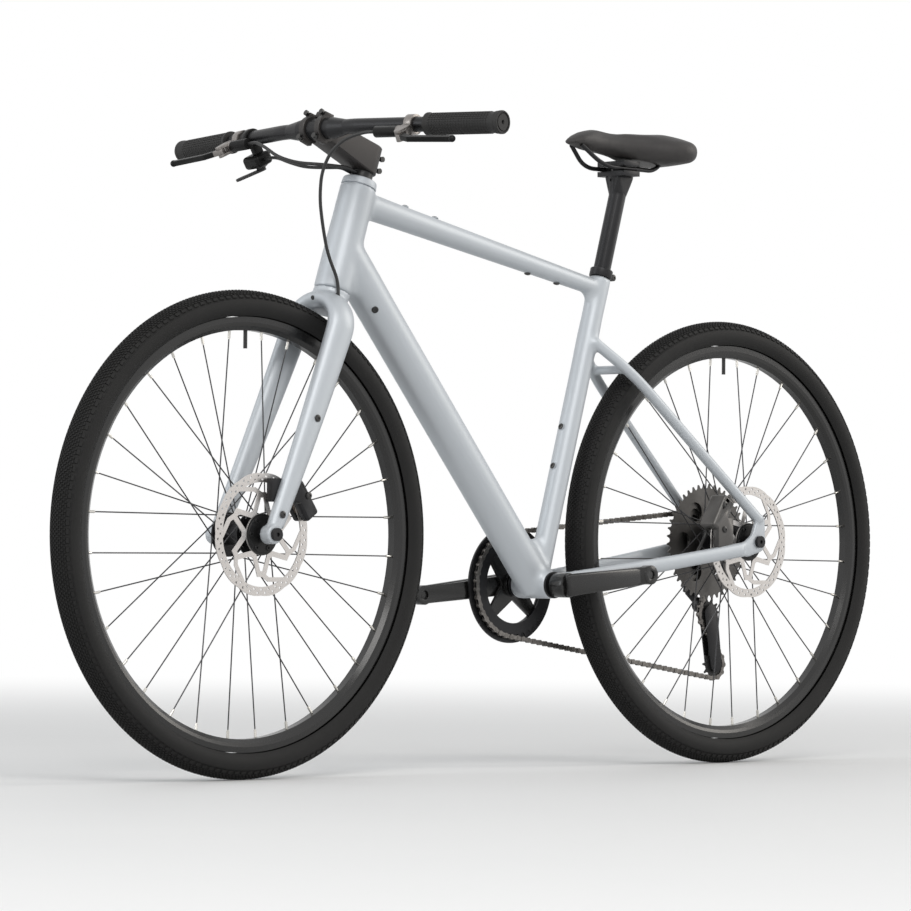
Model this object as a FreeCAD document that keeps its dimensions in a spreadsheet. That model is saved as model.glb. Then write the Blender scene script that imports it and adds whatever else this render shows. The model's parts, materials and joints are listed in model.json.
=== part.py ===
import FreeCAD, Part
import math
import os

# Hybrid bicycle: +X forward, +Y to the rider's left, +Z up, origin on the ground midway between the axles.

Vec = FreeCAD.Vector
doc = FreeCAD.newDocument("hybrid_bicycle")
sheet = doc.addObject("Spreadsheet::Sheet", "Sizes")

# Driving dimensions in millimetres and degrees, grouped by piece.
DRIVING = {
    # Layout
    "wheelbase": 1037,
    "chainstay_length": 435,
    "bracket_drop": 71,
    "head_angle": 71.8,
    "seat_angle": 74,
    "fork_rake": 49.4,
    "axle_to_crown": 397.6,
    "seat_gap": 0.3,
    "running_gap": 0.05,
    "cut_overrun": 30,
    # Tyres and rims
    "tyre_diameter": 712,
    "tyre_width": 45,
    "tyre_wall": 3.2,
    "bead_width": 2.4,
    "bead_height": 8,
    "rim_lip_radius": 316.5,
    "rim_width": 26,
    "rim_lip_wall": 2.5,
    "rim_well_depth": 7.8,
    "rim_depth": 19.5,
    "rim_wall": 2.2,
    "rim_bed_width": 13,
    "valve_radius": 3,
    "valve_length": 36,
    # Spokes
    "spoke_count": 32,
    "spoke_cross": 3,
    "spoke_radius": 1.0,
    "nipple_radius": 2.1,
    "nipple_length": 11,
    "flange_hole_radius": 28.5,
    "flange_radius": 32.5,
    "flange_half_wall": 1.3,
    "spoke_side_step": 3.5,
    # Hubs
    "front_hub_width": 100,
    "rear_hub_width": 142,
    "front_flange_left": 21,
    "front_flange_right": 33,
    "rear_flange_left": 33,
    "rear_flange_right": 19,
    "hub_barrel_radius": 15,
    "hub_end_radius": 10,
    "rotor_seat_radius": 18,
    "freehub_radius": 17,
    "axle_radius": 6,
    "axle_head_radius": 9.5,
    "axle_head_length": 5,
    # Rotors and calipers
    "rotor_diameter": 180,
    "rotor_wall": 1.8,
    "rotor_band": 14,
    "rotor_wave": 1.6,
    "rotor_wave_count": 12,
    "rotor_arm_count": 6,
    "rotor_arm_width": 6.5,
    "rotor_arm_lean": 24,
    "rotor_carrier_radius": 30,
    "rotor_hole_radius": 2.2,
    "rotor_hole_count": 36,
    "front_rotor_inset": 10.5,
    "rear_rotor_inset": 15.3,
    "pad_wall": 3.2,
    "pad_length": 26,
    "pad_height": 16,
    "caliper_length": 58,
    "caliper_height": 34,
    "caliper_side": 12,
    "caliper_bridge": 9,
    "caliper_corner": 5,
    # Head tube and headset
    "head_tube_length": 167,
    "head_tube_lower_radius": 28,
    "head_tube_upper_radius": 26.5,
    "steerer_radius": 14.3,
    "bearing_radius": 20.9,
    "bearing_height": 7,
    "headset_cover_height": 10,
    "headset_cover_top_radius": 24,
    "spacer_height": 12,
    "spacer_radius": 17,
    # Frame tubes
    "tube_wall": 1.8,
    "down_tube_seat": 65,
    "down_tube_half_height": 30,
    "down_tube_half_width": 29,
    "down_tube_low_half_height": 26,
    "top_tube_seat": 143.5,
    "top_tube_half_height": 19.8,
    "top_tube_half_width": 18.2,
    "top_tube_rear_radius": 13,
    "top_tube_drop": 18.3,
    "seat_tube_length": 503,
    "seat_tube_radius": 16.6,
    "bracket_radius": 20.8,
    "bracket_width": 73,
    "bracket_bore": 17,
    "cup_lip": 4,
    "cup_depth": 16,
    "cup_lip_radius": 20.5,
    "spindle_radius": 8.5,
    # Stays and dropouts
    "chain_stay_front_height": 33,
    "chain_stay_rear_height": 24,
    "chain_stay_front_width": 14,
    "chain_stay_rear_width": 16,
    "chain_stay_front_side": 24,
    "chain_stay_tyre_side": 36.5,
    "chain_stay_rear_side": 75,
    "chain_stay_tip_x": 24,
    "chain_stay_tip_z": 11,
    "chain_stay_bend_x": 78,
    "seat_stay_drop": 105,
    "seat_stay_radius": 8.6,
    "seat_stay_front_side": 13,
    "seat_stay_bend_side": 43,
    "seat_stay_rear_side": 74.5,
    "seat_stay_bend_x": 62,
    "seat_stay_bend_z": 52,
    "seat_stay_tip_x": 6,
    "seat_stay_tip_z": 34,
    "bridge_radius": 7,
    "dropout_wall": 8,
    "dropout_radius": 17,
    "hanger_x": 9,
    "hanger_z": 28,
    "hanger_radius": 10,
    "hanger_bolt_radius": 4.9,
    "boss_hole_radius": 2.5,
    "boss_radius": 4.4,
    "boss_stand": 1.2,
    "boss_depth": 7,
    "boss_spacing": 64,
    "seat_tube_boss_seat": 188,
    "down_tube_boss_seat": 200,
    "top_tube_boss_seat": 102,
    # Seat clamp, seatpost and saddle
    "seat_clamp_height": 17,
    "seat_clamp_wall": 1.5,
    "seat_clamp_ear": 8,
    "seatpost_radius": 13.6,
    "seatpost_insertion": 150,
    "seatpost_rise": 146,
    "post_head_length": 36,
    "post_head_width": 30,
    "post_head_height": 22,
    "rail_radius": 3.5,
    "rail_side": 22,
    "rail_front_reach": 56.2,
    "rail_rear_reach": 58,
    "rail_height": 33.1,
    "rail_front_rise": 32,
    "rail_rear_rise": 20,
    "rail_nose_reach": 96.2,
    "rail_tail_reach": 82,
    "clamp_wing_height": 8,
    "saddle_nose_reach": 117.2,
    "saddle_tail_reach": 132.8,
    "saddle_width": 142,
    "saddle_height": 91.1,
    "saddle_depth": 44,
    # Fork
    "crown_arch_radius": 47,
    "crown_arch_drop": 66,
    "crown_half_wall": 14,
    "crown_half_depth": 24,
    "crown_forward": 10,
    "crown_stub_height": 34,
    "blade_side": 50,
    "blade_tip_side": 60,
    "blade_mid_drop": 210,
    "blade_tip_drop": 384,
    "blade_mid_side": 54.5,
    "blade_mid_half_depth": 20,
    "blade_mid_half_width": 12.5,
    "eyelet_low_drop": 366,
    "blade_mid_forward": 24,
    "blade_tip_forward": 46,
    "blade_tip_half_depth": 14,
    "blade_tip_half_width": 10,
    "fork_boss_radius": 14,
    "fork_eyelet_radius": 2.5,
    "fork_eyelet_depth": 9,
    # Stem, bar and grips
    "stem_length": 103.6,
    "stem_rise": 6.5,
    "stem_clamp_height": 42,
    "stem_clamp_radius": 19,
    "stem_body_half_height": 17,
    "stem_body_half_width": 18,
    "stem_ear": 16,
    "split_gap": 1,
    "bar_clamp_radius": 15.9,
    "bar_clamp_half_width": 25,
    "faceplate_wall": 5.5,
    "stem_bolt_radius": 2.5,
    "stem_bolt_head_radius": 4.2,
    "stem_bolt_head_height": 4,
    "bar_radius": 11.1,
    "bar_half_width": 342,
    "bar_straight": 76,
    "bar_bulge": 34,
    "bar_back": 38,
    "bar_fall": 9,
    "bar_bend_radius": 140,
    "grip_radius": 16.2,
    "grip_length": 130,
    "grip_cap_radius": 17,
    "grip_cap_length": 6,
    # Brake perches, levers and shifter
    "lever_tilt": 27,
    "perch_inset": 158,
    "perch_ring_width": 13,
    "perch_ring_wall": 4,
    "cylinder_reach": 25,
    "cylinder_radius": 8.5,
    "cylinder_length": 62,
    "cylinder_outboard": 12,
    "lever_pivot_reach": 41,
    "lever_pivot_outboard": 4,
    "lever_pin_radius": 3,
    "lever_eye_radius": 6,
    "lever_eye_height": 8,
    "lever_fork_wall": 4,
    "lever_blade_wall": 7,
    "lever_tip_reach": 58,
    "lever_tip_outboard": 112,
    "lever_knee_outboard": 30,
    "lever_knee_reach": 54,
    "lever_ball_radius": 5.2,
    "shifter_inset": 184,
    "shifter_ring_width": 9,
    "pod_length": 40,
    "pod_width": 30,
    "pod_height": 20,
    "pod_drop": 33,
    "pod_reach": 6,
    "paddle_length": 36,
    "paddle_width": 13,
    "paddle_wall": 3.5,
    "paddle_pin_radius": 3,
    "paddle_eye_radius": 7,
    "hose_radius": 2.5,
    "housing_radius": 2.5,
    "hose_lead": 20,
    "port_side": 30,
    "port_step": 5.5,
    # Cranks and chainring
    "crank_length": 175,
    "crank_angle": 5.5,
    "crank_boss_radius": 19,
    "crank_eye_radius": 15,
    "crank_wall": 15,
    "crank_boss_wall": 26,
    "crank_boss_side": 46,
    "crank_tip_side": 67,
    "pedal_hole_radius": 7,
    "chain_line": 49,
    "chain_pitch": 12.7,
    "ring_teeth": 40,
    "ring_wall": 2.2,
    "ring_inner_radius": 60,
    "guard_radius": 91,
    "guard_inner_radius": 62,
    "guard_wall": 3.2,
    "spider_arm_count": 4,
    "spider_arm_width": 17,
    "spider_wall": 5,
    "spider_radius": 72,
    # Chain
    "roller_radius": 3.85,
    "pin_radius": 1.8,
    "bush_bore": 1.88,
    "inner_width": 2.5,
    "inner_plate_wall": 0.9,
    "outer_plate_wall": 0.9,
    "plate_gap": 0.1,
    "plate_end_radius": 4.2,
    "plate_waist": 2.9,
    "pin_stand": 0.25,
    # Cassette
    "sprocket_wall": 1.8,
    "sprocket_spacing": 4.8,
    "engaged_index": 4,
    # Derailleur
    "guide_x": -21.5,
    "guide_z": -116,
    "cage_length": 84,
    "cage_angle": 13,
    "cage_search": 14,
    "solver_steps": 60,
    "cage_tail_radius": 13,
    "link_step_x": 6,
    "link_step_y": 23,
    "link_step_z": 30,
    "elbow_u": 20,
    "elbow_w": 20,
    "arm_radius": 6.5,
    "barrel_radius": 3.6,
    "barrel_length": 18,
    "pulley_teeth": 11,
    "pulley_wall": 1.9,
    "pulley_hub_radius": 6,
    "pulley_bolt_radius": 2.5,
    "cage_half_width": 5.2,
    "cage_wall": 2,
    "cage_lobe_radius": 15,
    "cage_pivot_x": 7,
    "cage_pivot_z": 14,
    "cage_pivot_radius": 5,
    "knuckle_radius": 12,
    "knuckle_length": 12,
    "link_length": 36,
    "link_spread": 9,
    "link_ear_radius": 4.6,
    "link_ear_wall": 3,
    "link_lug_half": 6.2,
    "link_web_wall": 3.6,
    "link_pin_radius": 2,
    "link_down_angle": 37,
    "link_in_angle": 36,
    "mount_radius": 11,
    "mount_length": 13,
}

# Sprocket sizes from the outermost to the innermost.
SPROCKET_TEETH = (11, 13, 16, 20, 25, 31, 38, 45)

for row, (alias, value) in enumerate(DRIVING.items(), 1):
    sheet.set(f"A{row}", alias)
    sheet.set(f"B{row}", str(value))
    sheet.setAlias(f"B{row}", alias)
doc.recompute()


class SheetReader:
    # Gives a cell of the sheet by its alias, as a plain number.
    def __getattr__(self, alias):
        return float(sheet.get(alias))


s = SheetReader()
parts = []
LEFT, RIGHT = 1, -1
SIDES = ((LEFT, "left"), (RIGHT, "right"))
X_AXIS, Y_AXIS, Z_AXIS = Vec(1, 0, 0), Vec(0, 1, 0), Vec(0, 0, 1)
half_share = 0.5


# Helpers for document objects

def node(obj, label):
    obj.Label = label
    parts.append(obj)
    return obj


def bind(obj, **expressions):
    for prop, text in expressions.items():
        obj.setExpression(prop, text)
    return obj


def aim(at, axis):
    return FreeCAD.Placement(at, FreeCAD.Rotation(Z_AXIS, axis))


def cylinder(name, radius, height, at, axis):
    obj = doc.addObject("Part::Cylinder", name)
    bind(obj, Radius=radius, Height=height)
    obj.Placement = aim(at, axis)
    return obj


def cone(name, radius1, radius2, height, at, axis):
    obj = doc.addObject("Part::Cone", name)
    bind(obj, Radius1=radius1, Radius2=radius2, Height=height)
    obj.Placement = aim(at, axis)
    return obj


def fuse(name, *objs):
    obj = doc.addObject("Part::MultiFuse", name)
    obj.Shapes = list(objs)
    return obj


def cut(name, base, *tools):
    tool = tools[0] if len(tools) == 1 else fuse(name + "_tools", *tools)
    obj = doc.addObject("Part::Cut", name)
    obj.Base = base
    obj.Tool = tool
    return obj


def group(name, *objs):
    obj = doc.addObject("Part::Compound", name)
    obj.Links = list(objs)
    return obj


def feature(name, shape):
    obj = doc.addObject("Part::Feature", name)
    obj.Shape = shape
    return obj


def ellipse(name, major, minor, at, normal, major_dir):
    obj = doc.addObject("Part::Ellipse", name)
    bind(obj, MajorRadius=major, MinorRadius=minor)
    side = normal.cross(major_dir)
    obj.Placement = FreeCAD.Placement(at, FreeCAD.Rotation(major_dir, side, normal, "XYZ"))
    return obj


def loft(name, *sections):
    obj = doc.addObject("Part::Loft", name)
    obj.Sections = list(sections)
    obj.Solid = True
    return obj


# Helpers for plain shapes

def unit(vector):
    result = Vec(vector)
    result.normalize()
    return result


def polar(radius, degrees):
    # A point in the plane of a wheel: angle from +X towards +Z.
    a = math.radians(degrees)
    return Vec(radius * math.cos(a), 0, radius * math.sin(a))


def rod(start, end, radius):
    axis = end - start
    return Part.makeCylinder(radius, axis.Length, start, axis)


def shell_ring(outer, inner, length, at, axis):
    return Part.makeCylinder(outer, length, at, axis).cut(Part.makeCylinder(inner, length, at, axis))


def turned(points, at):
    # A solid of revolution about the Y axis through a point, from (y, radius) pairs.
    corners = [Vec(0, y, r) for y, r in points]
    face = Part.Face(Part.makePolygon(corners + corners[:1]))
    solid = face.revolve(Vec(), Y_AXIS, 360)
    solid.translate(at)
    return solid


def slab(outline, low_y, high_y):
    # A flat plate from (x, z) corners, standing between two values of y.
    corners = [Vec(x, low_y, z) for x, z in outline]
    face = Part.Face(Part.makePolygon(corners + corners[:1]))
    return face.extrude(Vec(0, high_y - low_y, 0))


def block(center, length_dir, height_dir, length, height, width):
    # A box centred on a point, with its length and height along the given directions.
    length_dir, height_dir = unit(length_dir), unit(height_dir)
    width_dir = length_dir.cross(height_dir)
    box = Part.makeBox(length, height, width, Vec(-length, -height, -width) * half_share)
    box.Placement = FreeCAD.Placement(center, FreeCAD.Rotation(length_dir, height_dir, width_dir, "XYZ"))
    return box


def lens(start, end, radius1, radius2, thickness, normal):
    # A plate shaped like a belt round two circles, centred on the line between them.
    axis, normal = end - start, unit(normal)
    run = axis.Length
    along = unit(axis)
    across = normal.cross(along)
    lean = math.asin((radius1 - radius2) / run)
    low = -normal * (thickness * half_share)

    def rim(center, radius, angle):
        return center + low + along * (radius * math.sin(angle)) + across * (radius * math.cos(angle))

    a, b = rim(start, radius1, lean), rim(end, radius2, lean)
    c, d = rim(end, radius2, math.pi - lean), rim(start, radius1, math.pi - lean)
    edges = [
        Part.LineSegment(a, b),
        Part.Arc(b, end + low + along * radius2, c),
        Part.LineSegment(c, d),
        Part.Arc(d, start + low - along * radius1, a),
    ]
    wire = Part.Wire([e.toShape() for e in edges])
    return Part.Face(wire).extrude(normal * thickness)


bend_share = 0.45


def rounded_path(points):
    # Straight runs joined by tangent arcs, each as large as its two runs allow.
    edges, radii = [], []
    last = points[0]
    for i in range(1, len(points) - 1):
        before, here, after = points[i - 1], points[i], points[i + 1]
        into, out = unit(before - here), unit(after - here)
        turn = math.pi - into.getAngle(out)
        setback = bend_share * min((before - here).Length, (after - here).Length)
        radius = setback / math.tan(turn * half_share)
        first, second = here + into * setback, here + out * setback
        middle_dir = unit(into + out)
        depth = radius / math.cos(turn * half_share) - radius
        edges.append(Part.LineSegment(last, first).toShape())
        edges.append(Part.Arc(first, here + middle_dir * depth, second).toShape())
        radii.append(round(radius, 1))
        last = second
    edges.append(Part.LineSegment(last, points[-1]).toShape())
    return Part.Wire(edges), radii


def hose(name, points, radius):
    path, radii = rounded_path(points)
    start_dir = points[1] - points[0]
    ring = Part.Wire([Part.makeCircle(radius, points[0], start_dir)])
    tube = path.makePipeShell([ring], True, False)
    expected = math.pi * radius ** 2 * path.Length
    print(name, "length", round(path.Length, 1), "radii", radii, "volume ratio",
          round(tube.Volume / expected, 4))
    return tube


def route_points(origin, lengths, shares):
    # Points of a hose's way, as shares of three lengths from a fixed point.
    return [origin + Vec(*[a * b for a, b in zip(row, lengths)]) for row in shares]


def oval(at, normal, tall, wide):
    # An ellipse wire across a direction: tall upwards, wide sideways.
    normal = unit(normal)
    upright = unit(Z_AXIS - normal * Z_AXIS.dot(normal))
    side = normal.cross(upright)
    major, minor, first = (tall, wide, upright) if tall >= wide else (wide, tall, side)
    curve = Part.Ellipse(at + first * major, at + normal.cross(first) * minor, at)
    return Part.Wire([curve.toShape()])


def side_point(point, side):
    return Vec(point.x, point.y * side, point.z)


# Layout points

tyre_radius = s.tyre_diameter * half_share
front_axle = Vec(s.wheelbase * half_share, 0, tyre_radius)
rear_axle = Vec(-s.wheelbase * half_share, 0, tyre_radius)
stay_run = math.sqrt(s.chainstay_length ** 2 - s.bracket_drop ** 2)
bracket = Vec(rear_axle.x + stay_run, 0, tyre_radius - s.bracket_drop)
head = math.radians(s.head_angle)
steer_up = Vec(-math.cos(head), 0, math.sin(head))
steer_fwd = Vec(math.sin(head), 0, math.cos(head))
crown = front_axle - steer_fwd * s.fork_rake + steer_up * s.axle_to_crown
seat = math.radians(s.seat_angle)
seat_up = Vec(-math.cos(seat), 0, math.sin(seat))
seat_fwd = Vec(math.sin(seat), 0, math.cos(seat))
seat_top = bracket + seat_up * s.seat_tube_length


def steer(along, forward=0, side=0):
    # A point in the steering frame, measured from the crown race seat.
    return crown + steer_up * along + steer_fwd * forward + Y_AXIS * side


# Wheels

def tyre_shape():
    tube = s.tyre_width * half_share
    center_r = tyre_radius - tube
    lip_r = s.rim_lip_radius + s.seat_gap
    bead_y = s.rim_width * half_share - s.rim_lip_wall - s.seat_gap
    bead_r = s.rim_lip_radius - s.bead_height + s.seat_gap
    inner_y = bead_y - s.bead_width
    side_y = math.sqrt(tube ** 2 - (center_r - lip_r) ** 2)
    neck_r = lip_r + s.tyre_wall
    top_r = tyre_radius - s.tyre_wall

    def p(y, r):
        return Vec(0, y, r)

    edges = [
        Part.LineSegment(p(-bead_y, bead_r), p(-bead_y, lip_r)),
        Part.LineSegment(p(-bead_y, lip_r), p(-side_y, lip_r)),
        Part.Arc(p(-side_y, lip_r), p(0, tyre_radius), p(side_y, lip_r)),
        Part.LineSegment(p(side_y, lip_r), p(bead_y, lip_r)),
        Part.LineSegment(p(bead_y, lip_r), p(bead_y, bead_r)),
        Part.LineSegment(p(bead_y, bead_r), p(inner_y, bead_r)),
        Part.LineSegment(p(inner_y, bead_r), p(inner_y, neck_r)),
        Part.Arc(p(inner_y, neck_r), p(0, top_r), p(-inner_y, neck_r)),
        Part.LineSegment(p(-inner_y, neck_r), p(-inner_y, bead_r)),
        Part.LineSegment(p(-inner_y, bead_r), p(-bead_y, bead_r)),
    ]
    face = Part.Face(Part.Wire([e.toShape() for e in edges]))
    return face.revolve(Vec(), Y_AXIS, 360)


rim_shoulder_share = 0.42
rim_flank_share = 0.9
rim_knee_share = 0.68


def rim_shape():
    outer_y, lip_y = s.rim_width * half_share, s.rim_width * half_share - s.rim_lip_wall
    well_r = s.rim_lip_radius - s.rim_well_depth
    bed_r = s.rim_lip_radius - s.rim_depth
    shoulder_r = s.rim_lip_radius - s.rim_depth * rim_shoulder_share
    knee_r = s.rim_lip_radius - s.rim_depth * rim_knee_share
    bed_y = s.rim_bed_width * half_share
    flank_y = outer_y * rim_flank_share
    half = [
        (outer_y, s.rim_lip_radius), (lip_y, s.rim_lip_radius), (lip_y, well_r),
    ]
    lower = [(bed_y, bed_r), (flank_y, knee_r), (outer_y, shoulder_r)]
    points = half + [(-y, r) for y, r in reversed(half)] + [(-y, r) for y, r in reversed(lower)] + lower
    solid = turned(points, Vec())
    cell = [
        (flank_y - s.rim_wall, well_r - s.rim_wall), (flank_y - s.rim_wall, knee_r),
        (bed_y - s.rim_wall, bed_r + s.rim_wall),
    ]
    cavity = turned(cell + [(-y, r) for y, r in reversed(cell)], Vec())
    valve_hole = Part.makeCylinder(s.valve_radius + s.seat_gap, s.rim_depth + s.cut_overrun,
                                   Vec(0, 0, bed_r - s.cut_overrun))
    return solid.cut(cavity).cut(valve_hole)


def valve_shape():
    top_r = s.rim_lip_radius - s.rim_depth * half_share
    return Part.makeCylinder(s.valve_radius, s.valve_length, Z_AXIS * (top_r - s.valve_length))


flange_phase_shares = (0.25, 0.75)


def spoke_shapes(flange_left, flange_right):
    bed_r = s.rim_lip_radius - s.rim_depth
    per_side = int(s.spoke_count) // 2
    step = 360 / per_side
    shapes = []
    for side, flange_y, phase_share in zip((LEFT, RIGHT), (flange_left, -flange_right), flange_phase_shares):
        for i in range(per_side):
            lead = 1 if i % 2 == 0 else -1
            hub_angle = (i + phase_share) * step
            rim_angle = hub_angle + lead * s.spoke_cross * step
            hub_point = polar(s.flange_hole_radius,
                              hub_angle) + Y_AXIS * (flange_y + lead * s.spoke_side_step)
            rim_point = polar(bed_r - s.seat_gap, rim_angle) + Y_AXIS * (side * s.nipple_radius)
            neck = rim_point + unit(hub_point - rim_point) * s.nipple_length
            shapes.append(rod(hub_point, neck, s.spoke_radius).fuse(rod(neck, rim_point, s.nipple_radius)))
    return shapes


def hub_shape(width, flange_left, flange_right, rotor_y, drive_y):
    # The shell with two flanges, the rotor seat on the left and a plain or freehub end on the right.
    end = width * half_share - s.seat_gap
    bore = s.axle_radius + s.running_gap
    wall = s.flange_half_wall
    seat_in = rotor_y - s.rotor_wall * half_share - s.seat_gap
    points = [
        (-drive_y, bore), (-drive_y, s.hub_end_radius), (-drive_y + s.seat_gap, s.hub_barrel_radius),
        (-flange_right - wall, s.hub_barrel_radius), (-flange_right - wall, s.flange_radius),
        (-flange_right + wall, s.flange_radius), (-flange_right + wall, s.hub_barrel_radius),
        (flange_left - wall, s.hub_barrel_radius), (flange_left - wall, s.flange_radius),
        (flange_left + wall, s.flange_radius), (flange_left + wall, s.rotor_seat_radius),
        (seat_in, s.rotor_seat_radius), (seat_in, s.hub_barrel_radius),
        (rotor_y + s.rotor_wall, s.hub_barrel_radius), (rotor_y + s.rotor_wall, s.hub_end_radius),
        (end, s.hub_end_radius), (end, bore),
    ]
    return turned(points, Vec())


inner_wave_share = 0.6


def rotor_shape(rotor_y):
    # A braking band with scalloped edges on leaning arms, round a carrier that sits on the hub.
    outer_r = s.rotor_diameter * half_share
    half_wall = s.rotor_wall * half_share
    count = int(s.rotor_wave_count)

    def scalloped(radius, depth, phase_share):
        edges = []
        step = 360 / count
        for i in range(count):
            first = polar(radius - depth, (i + phase_share) * step)
            middle = polar(radius, (i + phase_share + half_share) * step)
            last = polar(radius - depth, (i + phase_share + 1) * step)
            edges.append(Part.Arc(first, middle, last).toShape())
        return Part.Face(Part.Wire(edges))

    band = scalloped(outer_r, s.rotor_wave, 0).cut(scalloped(outer_r - s.rotor_band,
                                                             s.rotor_wave * inner_wave_share, half_share))
    disc = band.extrude(Y_AXIS * s.rotor_wall)
    carrier = shell_ring(s.rotor_carrier_radius, s.hub_barrel_radius + s.running_gap, s.rotor_wall, Vec(),
                         Y_AXIS)
    arms = []
    arm_count = int(s.rotor_arm_count)
    for i in range(arm_count):
        base_angle = i * 360 / arm_count
        for lean in (-s.rotor_arm_lean, s.rotor_arm_lean):
            start = polar(s.rotor_carrier_radius - s.rotor_arm_width * half_share, base_angle)
            end = polar(outer_r - s.rotor_band, base_angle + lean) + Vec(0, half_wall, 0)
            arms.append(lens(start + Vec(0, half_wall, 0), end, s.rotor_arm_width * half_share,
                             s.rotor_arm_width * half_share, s.rotor_wall, Y_AXIS))
    solid = disc.fuse([carrier] + arms)
    holes = []
    hole_count = int(s.rotor_hole_count)
    rows_shares = (0.3, 0.5, 0.7)
    for i in range(hole_count):
        share = rows_shares[i % len(rows_shares)]
        spot = polar(outer_r - s.rotor_wave - s.rotor_band * share, i * 360 / hole_count)
        holes.append(Part.makeCylinder(s.rotor_hole_radius, s.rotor_wall + s.cut_overrun,
                                       spot - Y_AXIS * s.cut_overrun * half_share, Y_AXIS))
    solid = solid.cut(holes).removeSplitter()
    solid.translate(Y_AXIS * (rotor_y - half_wall))
    return solid


def build_wheel(name, axle, width, flange_left, flange_right, rotor_inset, drive_y):
    rotor_y = width * half_share - rotor_inset
    pieces = {
        "tyre": tyre_shape(),
        "rim": Part.makeCompound([rim_shape(), valve_shape()]),
        "spokes": Part.makeCompound(spoke_shapes(flange_left, flange_right)),
        "hub": hub_shape(width, flange_left, flange_right, rotor_y, drive_y),
        "rotor": rotor_shape(rotor_y),
    }
    for piece, shape in pieces.items():
        obj = node(feature(f"{name}_{piece}", shape), f"{name}_{piece}")
        obj.Placement = FreeCAD.Placement(axle, FreeCAD.Rotation()).multiply(obj.Placement)
    return rotor_y


front_hub_end = s.front_hub_width * half_share - s.seat_gap
front_rotor_y = build_wheel("front", front_axle, s.front_hub_width, s.front_flange_left,
                            s.front_flange_right,
                            s.front_rotor_inset, front_hub_end)
freehub_inner_y = s.rear_flange_right + s.flange_half_wall + s.hub_barrel_radius * half_share
rear_rotor_y = build_wheel("rear", rear_axle, s.rear_hub_width, s.rear_flange_left, s.rear_flange_right,
                           s.rear_rotor_inset, freehub_inner_y)


# Frame

def frame_envelopes():
    # Solid outer forms that the other tubes are mitred against.
    forms = {
        "bracket": cylinder("bracket_form", "Sizes.bracket_radius", "Sizes.bracket_width",
                            bracket - Y_AXIS * (s.bracket_width * half_share), Y_AXIS),
        "head": cone("head_form", "Sizes.head_tube_lower_radius", "Sizes.head_tube_upper_radius",
                     "Sizes.head_tube_length", steer(s.seat_gap), steer_up),
        "seat": cylinder("seat_form", "Sizes.seat_tube_radius", "Sizes.seat_tube_length", bracket, seat_up),
    }
    return forms


forms = frame_envelopes()
head_bore = cylinder("head_bore", "Sizes.bearing_radius + Sizes.running_gap",
                     "Sizes.head_tube_length + Sizes.cut_overrun",
                     steer(s.seat_gap - s.cut_overrun * half_share), steer_up)
node(cut("head_tube", forms["head"], head_bore), "head_tube")
post_bore = cylinder("post_bore", "Sizes.seatpost_radius + Sizes.running_gap",
                     "Sizes.seat_tube_length + Sizes.cut_overrun", bracket, seat_up)
bracket_bore = cylinder("bracket_bore", "Sizes.bracket_bore", "Sizes.bracket_width + Sizes.cut_overrun",
                        bracket - Y_AXIS * ((s.bracket_width + s.cut_overrun) * half_share), Y_AXIS)
node(cut("bottom_bracket_shell", forms["bracket"], bracket_bore), "bottom_bracket_shell")


def tube_between(name, start, end, front, rear):
    # A hollow tapered tube: two ellipses, each (vertical radius, side radius), and the same less the wall.
    axis = unit(end - start)
    upright = unit(Z_AXIS - axis * Z_AXIS.dot(axis))
    solids = []
    for layer, less in (("outer", ""), ("inner", " - Sizes.tube_wall")):
        rings = []
        for tag, at, (tall, wide) in (("a", start, front), ("b", end, rear)):
            rings.append(ellipse(f"{name}_{layer}_{tag}", f"Sizes.{tall}{less}", f"Sizes.{wide}{less}", at,
                                 axis, upright))
        solids.append(loft(f"{name}_{layer}", *rings))
    return cut(f"{name}_hollow", *solids)


def boss(name, surface, out):
    # A threaded boss: a flange that stands on the tube, with a blind hole, and the cutter for the tube wall.
    surface = surface + out * (s.running_gap * 2)
    base = surface - out * s.boss_depth
    body = shell_ring(s.boss_radius, s.boss_hole_radius, s.boss_depth, base, out)
    cap = shell_ring(s.boss_radius + s.boss_stand, s.boss_hole_radius, s.boss_stand, surface, out)
    hole = Part.makeCylinder(s.boss_radius, s.boss_depth, base, out)
    return feature(name, body.fuse(cap).removeSplitter()), feature(name + "_seat", hole)


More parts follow.
